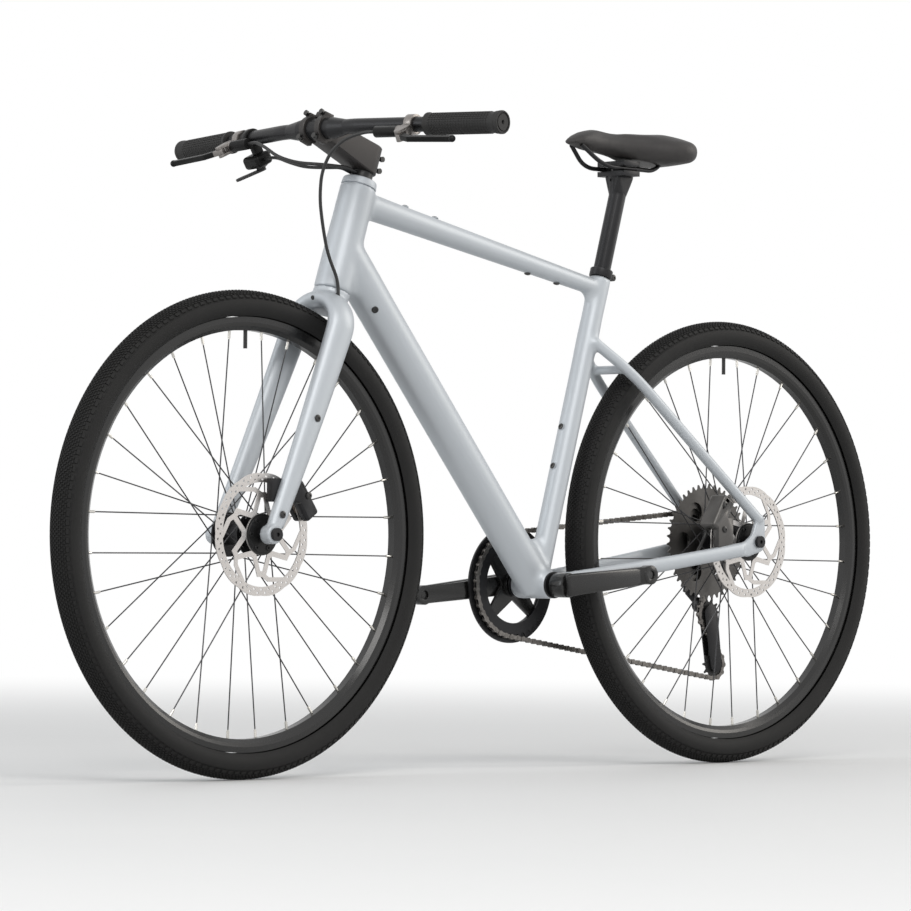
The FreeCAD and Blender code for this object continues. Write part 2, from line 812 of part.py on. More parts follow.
def build_main_triangle():
    down_end = steer(s.down_tube_seat)
    down_axis = unit(down_end - bracket)
    down = tube_between("down", down_end, bracket, ("down_tube_half_height", "down_tube_half_width"),
                        ("down_tube_half_width", "down_tube_low_half_height"))
    top_front = steer(s.top_tube_seat)
    top_rear = seat_top - seat_up * s.top_tube_drop
    top = tube_between("top", top_front, top_rear, ("top_tube_half_height", "top_tube_half_width"),
                       ("top_tube_rear_radius", "top_tube_rear_radius"))
    top_axis = unit(top_rear - top_front)
    top_up = unit(Z_AXIS - top_axis * Z_AXIS.dot(top_axis))
    down_up = unit(Z_AXIS - down_axis * Z_AXIS.dot(down_axis))
    bosses, seats = {"seat": [], "down": [], "top": []}, {"seat": [], "down": [], "top": []}
    for i in range(2):
        step = i * s.boss_spacing
        spot = bracket + seat_up * (s.seat_tube_boss_seat + step) + seat_fwd * s.seat_tube_radius
        pairs = [("seat", spot, seat_fwd)]
        spot = bracket + down_axis * (s.down_tube_boss_seat + step)
        run = (s.down_tube_boss_seat + step) / (down_end - bracket).Length
        height = s.down_tube_half_width + (s.down_tube_half_height - s.down_tube_half_width) * run
        pairs.append(("down", spot + down_up * height, down_up))
        along = s.top_tube_boss_seat + step
        run = along / (top_rear - top_front).Length
        height = s.top_tube_half_height + (s.top_tube_rear_radius - s.top_tube_half_height) * run
        pairs.append(("top", top_front + top_axis * along + top_up * height, top_up))
        for where, surface, out in pairs:
            body, hole = boss(f"{where}_boss_{i + 1}", surface, out)
            bosses[where].append(body)
            seats[where].append(hole)
            print("boss", where, [round(c, 3) for c in surface], [round(c, 5) for c in out])
    node(cut("down_tube", down, forms["head"], forms["bracket"], forms["seat"], *seats["down"]),
         "down_tube")
    node(cut("top_tube", top, forms["head"], forms["seat"], *seats["top"]), "top_tube")
    node(cut("seat_tube", forms["seat"], post_bore, forms["bracket"], *seats["seat"]), "seat_tube")
    node(group("frame_bosses", *(b for name in bosses for b in bosses[name])), "frame_bosses")


build_main_triangle()


dropout_inner_y = s.rear_hub_width * half_share
dropout_outer_y = dropout_inner_y + s.dropout_wall


stay_tip = Vec(rear_axle.x + s.chain_stay_tip_x, s.chain_stay_rear_side, rear_axle.z - s.chain_stay_tip_z)


def chain_stay_shape(side):
    tip = stay_tip
    root = Vec(bracket.x, s.chain_stay_front_side, bracket.z)
    bend = Vec(bracket.x - s.chain_stay_bend_x, s.chain_stay_tyre_side, 0)
    slope = (tip.z - root.z) / (tip.x - root.x)
    bend.z = root.z + slope * (bend.x - root.x)
    tall_front, tall_rear = s.chain_stay_front_height * half_share, s.chain_stay_rear_height * half_share
    wide_front, wide_rear = s.chain_stay_front_width * half_share, s.chain_stay_rear_width * half_share
    back = Vec(-1, 0, slope * -1)
    stations = [
        (root, back, tall_front, wide_front),
        (bend, back, (tall_front + tall_rear) * half_share, wide_front),
        (tip, tip - bend, tall_rear, wide_rear),
    ]
    wires = [oval(side_point(p, side), side_point(d, side), tall, wide) for p, d, tall, wide in stations]
    return Part.makeLoft(wires, True)


def stay_route():
    joint = seat_top - seat_up * s.seat_stay_drop
    start = Vec(joint.x, s.seat_stay_front_side, joint.z)
    knee = Vec(joint.x - s.seat_stay_bend_x, s.seat_stay_bend_side, joint.z - s.seat_stay_bend_z)
    tip = Vec(rear_axle.x - s.seat_stay_tip_x, s.seat_stay_rear_side, rear_axle.z + s.seat_stay_tip_z)
    return start, knee, tip


def seat_stay_shape(side):
    start, knee, tip = (side_point(p, side) for p in stay_route())
    into, out = unit(start - knee), unit(tip - knee)
    turn = math.pi - into.getAngle(out)
    setback = (start - knee).Length * bend_share
    radius = setback / math.tan(turn * half_share)
    first, second = knee + into * setback, knee + out * setback
    middle = knee + unit(into + out) * (radius / math.cos(turn * half_share) - radius)
    edges = [Part.LineSegment(start, first), Part.Arc(first, middle, second), Part.LineSegment(second, tip)]
    path = Part.Wire([e.toShape() for e in edges])
    ring = Part.Wire([Part.makeCircle(s.seat_stay_radius, start, -into)])
    return path.makePipeShell([ring], True, False)


def dropout_shape(side):
    low, high = sorted((dropout_inner_y * side, dropout_outer_y * side))
    middle = (low + high) * half_share
    wall = s.dropout_wall
    axle = rear_axle + Y_AXIS * middle
    chain_tip = Vec(rear_axle.x + s.chain_stay_tip_x, middle, rear_axle.z - s.chain_stay_tip_z)
    seat_tip = Vec(rear_axle.x - s.seat_stay_tip_x, middle, rear_axle.z + s.seat_stay_tip_z)
    chain_lobe = s.chain_stay_rear_height * half_share + s.boss_stand
    shape = lens(axle, chain_tip, s.dropout_radius, chain_lobe, wall, Y_AXIS)
    shape = shape.fuse(lens(axle, seat_tip, s.dropout_radius, s.seat_stay_radius + s.boss_stand, wall,
                            Y_AXIS))
    if side == RIGHT:
        hanger = axle + Vec(-s.hanger_x, 0, -s.hanger_z)
        shape = shape.fuse(lens(axle, hanger, s.dropout_radius, s.hanger_radius, wall, Y_AXIS))
        bolt = Part.makeCylinder(s.hanger_bolt_radius + s.running_gap, wall + s.cut_overrun,
                                 hanger - Y_AXIS * ((wall + s.cut_overrun) * half_share), Y_AXIS)
        shape = shape.cut(bolt)
    hole = Part.makeCylinder(s.axle_radius + s.running_gap, wall + s.cut_overrun,
                             axle - Y_AXIS * ((wall + s.cut_overrun) * half_share), Y_AXIS)
    return shape.cut(hole).removeSplitter()


def build_rear_triangle():
    drops = {side: dropout_shape(side) for side, _ in SIDES}
    node(feature("rear_dropouts", Part.makeCompound(list(drops.values()))), "rear_dropouts")
    doc.recompute()
    tube = forms["seat"].Shape
    main = [forms["bracket"].Shape, tube, doc.getObject("down_outer").Shape]
    chain_stays, seat_stays = [], []
    for side, _ in SIDES:
        tip = side_point(stay_tip, side)
        lobe = Part.makeCylinder(s.chain_stay_rear_height * half_share + s.boss_stand, s.cut_overrun * 2,
                                 tip - Y_AXIS * s.cut_overrun, Y_AXIS)
        chain_stay = chain_stay_shape(side).cut(main + [lobe, drops[side]])
        chain_stays.append(max(chain_stay.Solids, key=lambda solid: solid.Volume))
        seat_stay = seat_stay_shape(side).cut([tube, drops[side]])
        seat_stays.append(max(seat_stay.Solids, key=lambda solid: solid.Volume))
    knee = stay_route()[1]
    lift = Vec(s.seat_stay_radius, 0, s.seat_stay_radius)
    span = Part.makeCylinder(s.bridge_radius, knee.y * 2, side_point(knee, RIGHT) + lift, Y_AXIS)
    bridge = min(span.cut(seat_stays).Solids, key=lambda solid: abs(solid.CenterOfMass.y))
    node(feature("chain_stays", Part.makeCompound(chain_stays)), "chain_stays")
    node(feature("seat_stays", Part.makeCompound(seat_stays + [bridge])), "seat_stays")


build_rear_triangle()


def build_bearings():
    rings = []
    height = s.bearing_height
    for at in (steer(s.seat_gap), steer(s.seat_gap + s.head_tube_length - height)):
        rings.append(shell_ring(s.bearing_radius, s.steerer_radius + s.running_gap, height, at, steer_up))
    half = s.bracket_width * half_share
    for side, _ in SIDES:
        out = Y_AXIS * side
        bore = s.spindle_radius + s.running_gap
        cup = shell_ring(s.bracket_bore - s.running_gap, bore, s.cup_depth,
                         bracket + out * (half - s.cup_depth), out)
        lip = shell_ring(s.cup_lip_radius, bore, s.cup_lip, bracket + out * half, out)
        rings.append(cup.fuse(lip).removeSplitter())
    node(feature("frame_bearings", Part.makeCompound(rings)), "frame_bearings")


build_bearings()


def axle_shape(center, outer_y):
    # A thru axle: shaft, head on the left with a key recess, and a threaded tip flush with the right dropout.
    shaft = Part.makeCylinder(s.axle_radius, outer_y * 2, center - Y_AXIS * outer_y, Y_AXIS)
    knob = Part.makeCylinder(s.axle_head_radius, s.axle_head_length, center + Y_AXIS * outer_y, Y_AXIS)
    recess_at = center + Y_AXIS * (outer_y + s.axle_head_length * half_share)
    recess = Part.makeCylinder(s.axle_radius * half_share, s.axle_head_length, recess_at, Y_AXIS)
    return shaft.fuse(knob).cut(recess).removeSplitter()


node(feature("rear_axle", axle_shape(rear_axle, dropout_outer_y + s.seat_gap)), "rear_axle")

# Seat clamp, seatpost and saddle


def seat_clamp_shape():
    # A split collar on the seat tube's top face, with an ear at the back and a screw across it.
    inner = s.seatpost_radius + s.running_gap
    outer = s.seat_tube_radius + s.seat_clamp_wall
    base = seat_top + seat_up * s.seat_gap
    middle = base + seat_up * (s.seat_clamp_height * half_share)
    ring = Part.makeCylinder(outer, s.seat_clamp_height, base, seat_up)
    ear_at = middle - seat_fwd * outer
    ear = block(ear_at, seat_fwd, seat_up, s.seat_clamp_ear * 2, s.seat_clamp_height, s.seat_clamp_ear * 2)
    bore = Part.makeCylinder(inner, s.seat_clamp_height, base, seat_up)
    slit = block(ear_at, seat_fwd, seat_up, s.seat_clamp_ear * 2 + s.cut_overrun * half_share,
                 s.cut_overrun, s.split_gap)
    screw_at = ear_at - seat_fwd * (s.seat_clamp_ear * half_share)
    reach = Y_AXIS * s.seat_clamp_ear
    head_end = reach + Y_AXIS * s.stem_bolt_head_height
    collar = ring.fuse(ear).cut([bore, slit, rod(screw_at - reach, screw_at + reach,
                                                 s.stem_bolt_radius + s.running_gap)])
    screw = rod(screw_at - reach, screw_at + reach, s.stem_bolt_radius)
    screw = screw.fuse(rod(screw_at + reach, screw_at + head_end, s.stem_bolt_head_radius)).removeSplitter()
    return [collar.removeSplitter(), screw]


post_top = seat_top + seat_up * s.seatpost_rise
rail_low_z = post_top.z + s.rail_height
cradle_top_z = rail_low_z - s.rail_radius - s.seat_gap
clamp_low_z = rail_low_z + s.rail_radius + s.seat_gap
saddle_top_z = post_top.z + s.saddle_height
saddle_nose_x = post_top.x + s.saddle_nose_reach


def seatpost_shapes():
    # The post with its head and lower cradle, the two upper clamp bars and the two clamp screws.
    foot = seat_top - seat_up * s.seatpost_insertion
    tube = Part.makeCylinder(s.seatpost_radius, s.seatpost_insertion + s.seatpost_rise, foot, seat_up)
    hollow = Part.makeCylinder(s.seatpost_radius - s.tube_wall,
                               s.seatpost_insertion + s.seatpost_rise - s.post_head_height, foot, seat_up)
    cradle_width = s.rail_side * 2 + s.rail_radius * 4
    cradle_at = Vec(post_top.x, 0, cradle_top_z - s.clamp_wing_height * half_share)
    cradle = block(cradle_at, X_AXIS, Z_AXIS, s.post_head_length, s.clamp_wing_height, cradle_width)
    screw_step = s.post_head_length * half_share - s.stem_bolt_head_radius
    screws, holes, rooms = [], [], []
    room_depth = s.stem_bolt_head_height * 2
    low_z = cradle_top_z - s.clamp_wing_height
    high_z = clamp_low_z + s.clamp_wing_height
    for shift in (-screw_step, screw_step):
        at = Vec(post_top.x + shift, 0, low_z)
        shaft = Part.makeCylinder(s.stem_bolt_radius, high_z - low_z, at)
        knob = Part.makeCylinder(s.stem_bolt_head_radius, s.stem_bolt_head_height,
                                 at - Z_AXIS * s.stem_bolt_head_height)
        screws.append(shaft.fuse(knob).removeSplitter())
        rooms.append(Part.makeCylinder(s.stem_bolt_head_radius + s.running_gap, room_depth,
                                       at - Z_AXIS * room_depth))
        holes.append(Part.makeCylinder(s.stem_bolt_radius + s.running_gap, high_z - low_z + s.cut_overrun,
                                       at - Z_AXIS * (s.cut_overrun * half_share)))
    neck_at = post_top - seat_up * (s.post_head_height * half_share)
    neck_round = s.seatpost_radius - s.running_gap
    neck_low = Part.Ellipse(neck_at + seat_fwd * neck_round,
                            neck_at + Y_AXIS * (neck_round - s.running_gap), neck_at)
    neck_high = Part.Ellipse(cradle_at + X_AXIS * (s.post_head_length * half_share - s.running_gap),
                             cradle_at + Y_AXIS * (s.post_head_width * half_share), cradle_at)
    neck = Part.makeLoft([Part.Wire(neck_low.toShape()), Part.Wire(neck_high.toShape())], True).cut(rooms)
    post = tube.cut(hollow).fuse([neck, cradle]).cut(holes).removeSplitter()
    bar_at = Vec(post_top.x, 0, clamp_low_z + s.clamp_wing_height * half_share)
    yoke = block(bar_at, X_AXIS, Z_AXIS, s.post_head_length, s.clamp_wing_height, cradle_width).cut(holes)
    return [post, yoke] + screws


def rail_shapes():
    rails = []
    for side, _ in SIDES:
        low_y = s.rail_side * side
        front_y = s.rail_side * half_share * side
        points = [
            Vec(post_top.x + s.rail_nose_reach, front_y, rail_low_z + s.rail_front_rise),
            Vec(post_top.x + s.rail_front_reach, low_y, rail_low_z),
            Vec(post_top.x - s.rail_rear_reach, low_y, rail_low_z),
            Vec(post_top.x - s.rail_tail_reach, low_y, rail_low_z + s.rail_rear_rise),
        ]
        path, _ = rounded_path(points)
        ring = Part.Wire([Part.makeCircle(s.rail_radius, points[0], points[1] - points[0])])
        rails.append(path.makePipeShell([ring], True, False))
    return rails


# Shares of the saddle's length from the nose, and of its width and heights there.
saddle_station_shares = (0.0, 0.05, 0.26, 0.48, 0.7, 0.87, 1.0)
saddle_width_shares = (0.18, 0.27, 0.34, 0.52, 0.86, 1.0, 0.7)
saddle_top_drop_shares = (0.42, 0.2, 0.08, 0.1, 0.06, 0.0, 0.14)
saddle_base_drop_shares = (0.6, 0.62, 0.72, 0.86, 1.0, 1.06, 0.85)
saddle_crown_share = 0.16
saddle_waist_share = 0.8
saddle_shoulder_share = 0.74


def saddle_shape(rails):
    wires = []
    length = s.saddle_nose_reach + s.saddle_tail_reach
    rows = zip(saddle_station_shares, saddle_width_shares, saddle_top_drop_shares, saddle_base_drop_shares)
    for along, wide, top_drop, base_drop in rows:
        x = saddle_nose_x - length * along
        half = s.saddle_width * half_share * wide
        top = saddle_top_z - s.saddle_depth * top_drop
        base = saddle_top_z - s.saddle_depth * base_drop
        shoulder_z = top - (top - base) * saddle_crown_share
        shoulder_y = half * saddle_shoulder_share
        belly_z = (shoulder_z + base) * half_share
        base_y = half * saddle_waist_share

        def p(y, z):
            return Vec(x, y, z)

        edges = [
            Part.LineSegment(p(-base_y, base), p(base_y, base)),
            Part.Arc(p(base_y, base), p(half, belly_z), p(shoulder_y, shoulder_z)),
            Part.Arc(p(shoulder_y, shoulder_z), p(0, top), p(-shoulder_y, shoulder_z)),
            Part.Arc(p(-shoulder_y, shoulder_z), p(-half, belly_z), p(-base_y, base)),
        ]
        wires.append(Part.Wire([e.toShape() for e in edges]))
    body = Part.makeLoft(wires, True)
    return body.cut(rails)


node(feature("seat_clamp", Part.makeCompound(seat_clamp_shape())), "seat_clamp")
node(feature("seatpost", Part.makeCompound(seatpost_shapes())), "seatpost")
saddle_rails = rail_shapes()
node(feature("saddle_rails", Part.makeCompound(saddle_rails)), "saddle_rails")
node(feature("saddle", saddle_shape(saddle_rails)), "saddle")

# Fork and headset

cover_base = s.head_tube_length + s.seat_gap * 2
spacer_base = cover_base + s.headset_cover_height
stem_base = spacer_base + s.spacer_height
stem_middle = stem_base + s.stem_clamp_height * half_share
steerer_top = stem_base + s.stem_clamp_height - s.stem_bolt_head_height
arch_side = s.blade_side - s.crown_arch_radius
steerer_bore_share = 0.86
crown_hole_share = 0.4


def fork_oval(along, forward, side, depth, width):
    center = steer(along, forward, side)
    curve = Part.Ellipse(center + steer_fwd * depth, center + Y_AXIS * width, center)
    return Part.Wire([curve.toShape()])


def crown_shape():
    # An arch over the tyre on a round stub, with the steerer above it.
    def p(side, along):
        return steer(along, s.crown_forward, side)

    low, top = -s.crown_arch_drop, s.crown_arch_radius - s.crown_arch_drop
    slant = s.crown_arch_radius * math.sqrt(half_share)
    edges = []
    edges.append(Part.Arc(p(s.blade_side, low), p(arch_side + slant, low + slant), p(arch_side, top)))
    edges.append(Part.LineSegment(p(arch_side, top), p(-arch_side, top)))
    edges.append(Part.Arc(p(-arch_side, top), p(-arch_side - slant, low + slant), p(-s.blade_side, low)))
    path = Part.Wire([e.toShape() for e in edges])
    ring = fork_oval(low, s.crown_forward, s.blade_side, s.crown_half_depth, s.crown_half_wall)
    arch = path.makePipeShell([ring], True, False)
    stub = Part.makeCone(s.crown_half_depth, s.head_tube_lower_radius, s.crown_stub_height,
                         steer(-s.crown_stub_height), steer_up)
    steerer = Part.makeCylinder(s.steerer_radius, steerer_top + s.crown_stub_height * half_share,
                                steer(-s.crown_stub_height * half_share), steer_up)
    bore = Part.makeCylinder(s.steerer_radius * steerer_bore_share, steerer_top, steer(0), steer_up)
    hole = Part.makeCylinder(s.boss_hole_radius, s.crown_half_depth * 4,
                             steer(-s.crown_stub_height * crown_hole_share, -s.crown_half_depth * 2),
                             steer_fwd)
    return arch.fuse([stub, steerer]).cut([bore, hole]).removeSplitter()


def blade_shape(side, word):
    # A tapering blade from the crown's foot to the dropout eye, with two threaded eyelets on its outer face.
    out = Y_AXIS * side
    rings = [
        fork_oval(-s.crown_arch_drop, s.crown_forward, s.blade_side * side, s.crown_half_depth,
                  s.crown_half_wall),
        fork_oval(-s.blade_mid_drop, s.blade_mid_forward, s.blade_mid_side * side, s.blade_mid_half_depth,
                  s.blade_mid_half_width),
        fork_oval(-s.blade_tip_drop, s.blade_tip_forward, s.blade_tip_side * side, s.blade_tip_half_depth,
                  s.blade_tip_half_width),
    ]
    inner = front_axle + out * (s.front_hub_width * half_share)
    outer = front_axle + out * fork_outer_y
    over = out * s.cut_overrun
    cutters = [rod(inner - over, outer + over, s.axle_radius + s.running_gap)]
    eyelets = (
        (s.blade_mid_drop, s.blade_mid_forward, s.blade_mid_side + s.blade_mid_half_width),
        (s.eyelet_low_drop, s.blade_tip_forward, s.blade_tip_side + s.blade_tip_half_width),
    )
    for drop, forward, reach in eyelets:
        mouth = steer(-drop, forward, reach * side)
        cutters.append(rod(mouth - out * s.fork_eyelet_depth, mouth + over, s.fork_eyelet_radius))
        print("mark eyelet", word, [round(c, 4) for c in mouth])
    blade = Part.makeLoft(rings, True).fuse(rod(inner, outer, s.fork_boss_radius)).cut(cutters)
    return blade.removeSplitter()


fork_outer_y = s.front_hub_width * half_share + s.blade_tip_half_width * 2
crown_form = crown_shape()
node(feature("fork_crown", crown_form), "fork_crown")
blade_shapes = [blade_shape(side, word) for side, word in SIDES]
node(feature("fork_blades", Part.makeCompound(blade_shapes)), "fork_blades")
node(feature("front_axle", axle_shape(front_axle, fork_outer_y + s.seat_gap)), "front_axle")

steerer_clear = "Sizes.steerer_radius + Sizes.running_gap"
cover_form = cone("cover_form", "Sizes.head_tube_upper_radius", "Sizes.headset_cover_top_radius",
                  "Sizes.headset_cover_height",
                  steer(cover_base), steer_up)
cover_bore = cylinder("cover_bore", steerer_clear, "Sizes.headset_cover_height", steer(cover_base),
                      steer_up)
spacer_form = cylinder("spacer_form", "Sizes.spacer_radius", "Sizes.spacer_height", steer(spacer_base),
                       steer_up)
spacer_bore = cylinder("spacer_bore", steerer_clear, "Sizes.spacer_height", steer(spacer_base), steer_up)
node(group("headset_cover", cut("cover_ring", cover_form, cover_bore),
           cut("spacer_ring", spacer_form, spacer_bore)), "headset_cover")

# Stem, handlebar and grips

bar_center = steer(stem_middle + s.stem_rise, s.stem_length)
stem_dir = unit(bar_center - steer(stem_middle))
stem_up = unit(Y_AXIS.cross(stem_dir) * -1)
clamp_outer = s.bar_clamp_radius + s.faceplate_wall
bolt_row_share = 0.66
screw_depth_share = 0.72


def faceplate_screw_places():
    reach = s.bar_clamp_radius + s.stem_bolt_radius + s.boss_stand
    for up in (-1, 1):
        for side, _ in SIDES:
            across = s.bar_clamp_half_width * bolt_row_share * side
            yield bar_center + stem_up * (reach * up) + Y_AXIS * across


def stem_shapes():
    # The stem body with its rear half of the bar clamp, the faceplate, and the screws that hold both.
    post = Part.makeCylinder(s.stem_clamp_radius, s.stem_clamp_height, steer(stem_base), steer_up)
    rear_ear = block(steer(stem_middle, -s.stem_clamp_radius), steer_fwd, steer_up, s.stem_ear,
                     s.stem_clamp_height, s.stem_ear)
    start = steer(stem_middle)
    wires = []
    for at, tall in ((start, s.stem_body_half_height + s.boss_stand),
                     (bar_center, s.stem_body_half_height)):
        wires.append(oval(at, stem_dir, tall, s.stem_body_half_width))
    body = Part.makeLoft(wires, True)
    half = s.bar_clamp_half_width
    left = bar_center - Y_AXIS * half
    ring = Part.makeCylinder(clamp_outer, half * 2, left, Y_AXIS)
    lugs = [block(at, stem_dir, stem_up, clamp_outer * 2 * screw_depth_share, s.stem_bolt_head_radius * 2,
                  s.stem_bolt_head_radius * 2)
            for at in faceplate_screw_places()]
    shell = ring.fuse(lugs).removeSplitter()
    big = clamp_outer * 4
    front_zone = block(bar_center + stem_dir * (big * half_share + s.split_gap), stem_dir, stem_up, big,
                       big, big)
    rear_zone = block(bar_center - stem_dir * (big * half_share), stem_dir, stem_up, big, big, big)
    bar_hole = Part.makeCylinder(s.bar_clamp_radius + s.running_gap, half * 4,
                                 bar_center - Y_AXIS * (half * 2), Y_AXIS)
    steerer_hole = Part.makeCylinder(s.steerer_radius + s.running_gap, s.stem_clamp_height + s.cut_overrun,
                                     steer(stem_base - s.cut_overrun * half_share), steer_up)
    window = block(bar_center + stem_dir * clamp_outer, stem_dir, stem_up,
                   clamp_outer * 2 - s.split_gap * 2, s.bar_clamp_radius, half * half_share)
    screws, holes = [], []
    depth = clamp_outer * screw_depth_share
    for at in faceplate_screw_places():
        face = at + stem_dir * depth
        shaft = rod(face, at - stem_dir * (depth * half_share), s.stem_bolt_radius)
        knob = rod(face, face + stem_dir * s.stem_bolt_head_height, s.stem_bolt_head_radius)
        screws.append(shaft.fuse(knob).removeSplitter())
        holes.append(rod(face + stem_dir * s.cut_overrun, at - stem_dir * (depth * half_share),
                         s.stem_bolt_radius + s.running_gap))
    for share in (-1, 1):
        at = steer(stem_middle + s.stem_clamp_height * bend_share * half_share * share,
                   -s.stem_clamp_radius - s.stem_ear * half_share * half_share)
        tip = s.stem_ear * half_share
        shaft = rod(at + Y_AXIS * tip, at - Y_AXIS * (tip * half_share), s.stem_bolt_radius)
        knob = rod(at + Y_AXIS * tip, at + Y_AXIS * (tip + s.stem_bolt_head_height),
                   s.stem_bolt_head_radius)
        screws.append(shaft.fuse(knob).removeSplitter())
        holes.append(rod(at + Y_AXIS * tip, at - Y_AXIS * (tip * half_share),
                         s.stem_bolt_radius + s.running_gap))
    cap_at = steer(stem_base + s.stem_clamp_height)
    cap = Part.makeCone(s.stem_clamp_radius, s.steerer_radius, s.stem_bolt_head_height, cap_at, steer_up)
    cap_screw = Part.makeCylinder(s.stem_bolt_head_radius, s.stem_bolt_head_height * half_share,
                                  cap_at + steer_up * s.stem_bolt_head_height, steer_up)
    screws.append(cap.fuse(cap_screw).removeSplitter())
    stem = post.fuse([rear_ear, body,
                      shell.common(rear_zone)]).cut([front_zone.fuse(rear_zone.common(bar_hole)), bar_hole,
                                                     steerer_hole] + holes)
    plate = shell.common(front_zone).cut([bar_hole, window] + holes)
    return stem.removeSplitter(), plate.removeSplitter(), screws


def bar_end(side):
    return bar_center + Vec(-s.bar_back, s.bar_half_width * side, -s.bar_fall)


def bar_knee(side):
    return bar_center + Y_AXIS * (s.bar_straight * side)


def bar_path():
    edges = []
    last = bar_end(RIGHT)
    for side in (RIGHT, LEFT):
        knee, tip = bar_knee(side), bar_end(side)
        into = unit(tip - knee)
        inward = Y_AXIS * -side
        turn = math.pi - into.getAngle(inward)
        setback = s.bar_bend_radius * math.tan(turn * half_share)
        first, second = (knee + into * setback, knee + inward * setback)
        depth = s.bar_bend_radius / math.cos(turn * half_share) - s.bar_bend_radius
        middle = knee + unit(into + inward) * depth
        if side == LEFT:
            first, second = second, first
        edges.append(Part.LineSegment(last, first).toShape())
        edges.append(Part.Arc(first, middle, second).toShape())
        last = second
    edges.append(Part.LineSegment(last, bar_end(LEFT)).toShape())
    return Part.Wire(edges)


def handlebar_shape():
    path = bar_path()
    start, toward = bar_end(RIGHT), unit(bar_knee(RIGHT) - bar_end(RIGHT))
    layers = []
    for radius in (s.bar_radius, s.bar_radius - s.tube_wall):
        ring = Part.Wire([Part.makeCircle(radius, start, toward)])
        layers.append(path.makePipeShell([ring], True, False))
    bulge = Part.makeCylinder(s.bar_clamp_radius, s.bar_bulge * 2, bar_center - Y_AXIS * s.bar_bulge,
                              Y_AXIS)
    tapers = []
    run = s.bar_straight * bolt_row_share + s.bar_bulge * half_share - s.bar_bulge
    for side, _ in SIDES:
        out = Y_AXIS * side
        tapers.append(Part.makeCone(s.bar_clamp_radius, s.bar_radius - s.split_gap, run,
                                    bar_center + out * s.bar_bulge, out))
    return layers[0].fuse([bulge] + tapers).cut(layers[1]).removeSplitter()


def grip_shapes():
    shapes = []
    for side, _ in SIDES:
        out = unit(bar_end(side) - bar_knee(side))
        start = bar_end(side) - out * s.grip_length
        sleeve = shell_ring(s.grip_radius, s.bar_radius + s.running_gap, s.grip_length, start, out)
        cap = Part.makeCylinder(s.grip_cap_radius, s.grip_cap_length, bar_end(side), out)
        pit = Part.makeCylinder(s.boss_hole_radius, s.grip_cap_length,
                                bar_end(side) + out * (s.grip_cap_length * half_share), out)
        shapes.append(sleeve.fuse(cap).cut(pit).removeSplitter())
    return shapes


stem_body, stem_plate, stem_screws = stem_shapes()
node(feature("stem", stem_body), "stem")
node(feature("stem_faceplate", stem_plate), "stem_faceplate")
node(feature("stem_bolts", Part.makeCompound(stem_screws)), "stem_bolts")
node(feature("handlebar", handlebar_shape()), "handlebar")
node(feature("grips", Part.makeCompound(grip_shapes())), "grips")


# Brake perches, levers and shifter

class BarFrame:
    # Directions on one side of the bar: out along it, reach towards the lever, and up across both.
    def __init__(self, side, inset):
        tilt = math.radians(s.lever_tilt)
        self.side = side
        self.out = unit(bar_end(side) - bar_knee(side))
        reach = Vec(math.cos(tilt), 0, -math.sin(tilt))
        self.reach = unit(reach - self.out * reach.dot(self.out))
        self.up = self.reach.cross(self.out) * side
        self.at = bar_end(side) - self.out * inset

    def point(self, out, reach, up):
        return self.at + self.out * out + self.reach * reach + self.up * up


def perch_shape(side):
    f = BarFrame(side, s.perch_inset)
    width = s.perch_ring_width
    ring = Part.makeCylinder(s.bar_radius + s.perch_ring_wall, width, f.point(-width * half_share, 0, 0),
                             f.out)
    barrel_start = f.point(s.cylinder_outboard - s.cylinder_length, s.cylinder_reach, 0)
    barrel = Part.makeCylinder(s.cylinder_radius, s.cylinder_length, barrel_start, f.out)
    web = block(f.point(0, s.cylinder_reach * half_share, 0), f.reach, f.up, s.cylinder_reach,
                s.perch_ring_width, width)
    ears = []
    gap = (s.lever_eye_height + s.lever_fork_wall) * half_share + s.seat_gap
    pivot_out = s.lever_pivot_outboard
    for level in (-gap, gap):
        ears.append(lens(f.point(pivot_out, s.cylinder_reach, level),
                         f.point(pivot_out, s.lever_pivot_reach, level),
                         s.cylinder_radius, s.lever_eye_radius, s.lever_fork_wall, f.up))
    reach = gap + s.lever_fork_wall * half_share
    pin = rod(f.point(pivot_out, s.lever_pivot_reach, -reach),
              f.point(pivot_out, s.lever_pivot_reach, reach), s.lever_pin_radius)
    clearance = Part.makeCylinder(s.lever_eye_radius + s.seat_gap, s.lever_eye_height + s.seat_gap * 2,
                                  f.point(pivot_out, s.lever_pivot_reach,
                                          -s.lever_eye_height * half_share - s.seat_gap), f.up)
    bar_hole = Part.makeCylinder(s.bar_radius + s.running_gap, width * 4, f.point(-width * 2, 0, 0), f.out)
    return ring.fuse([barrel, web] + ears).cut([clearance, bar_hole]).fuse(pin).removeSplitter()


def lever_shape(side):
    f = BarFrame(side, s.perch_inset)
    pivot = f.point(s.lever_pivot_outboard, s.lever_pivot_reach, 0)
    knee = f.point(s.lever_knee_outboard, s.lever_knee_reach, 0)
    tip = f.point(s.lever_tip_outboard, s.lever_tip_reach, 0)
    height = s.lever_eye_height
    wall = s.lever_blade_wall * half_share
    arm = lens(pivot, knee, s.lever_eye_radius, wall, height, f.up)
    blade = lens(knee, tip, wall, wall, height, f.up)
    ball = Part.makeSphere(s.lever_ball_radius, tip)
    bore = Part.makeCylinder(s.lever_pin_radius + s.running_gap, height * 2, pivot - f.up * height, f.up)
    print("lever", side, [round(c, 4) for c in pivot], [round(c, 6) for c in f.up])
    return arm.fuse([blade, ball]).cut(bore).removeSplitter()


pod_corner_share = 0.3
pod_low_share = 0.86


def pod_frame():
    f = BarFrame(RIGHT, s.shifter_inset)
    center = f.point(0, s.pod_reach, -s.pod_drop)
    return f, center


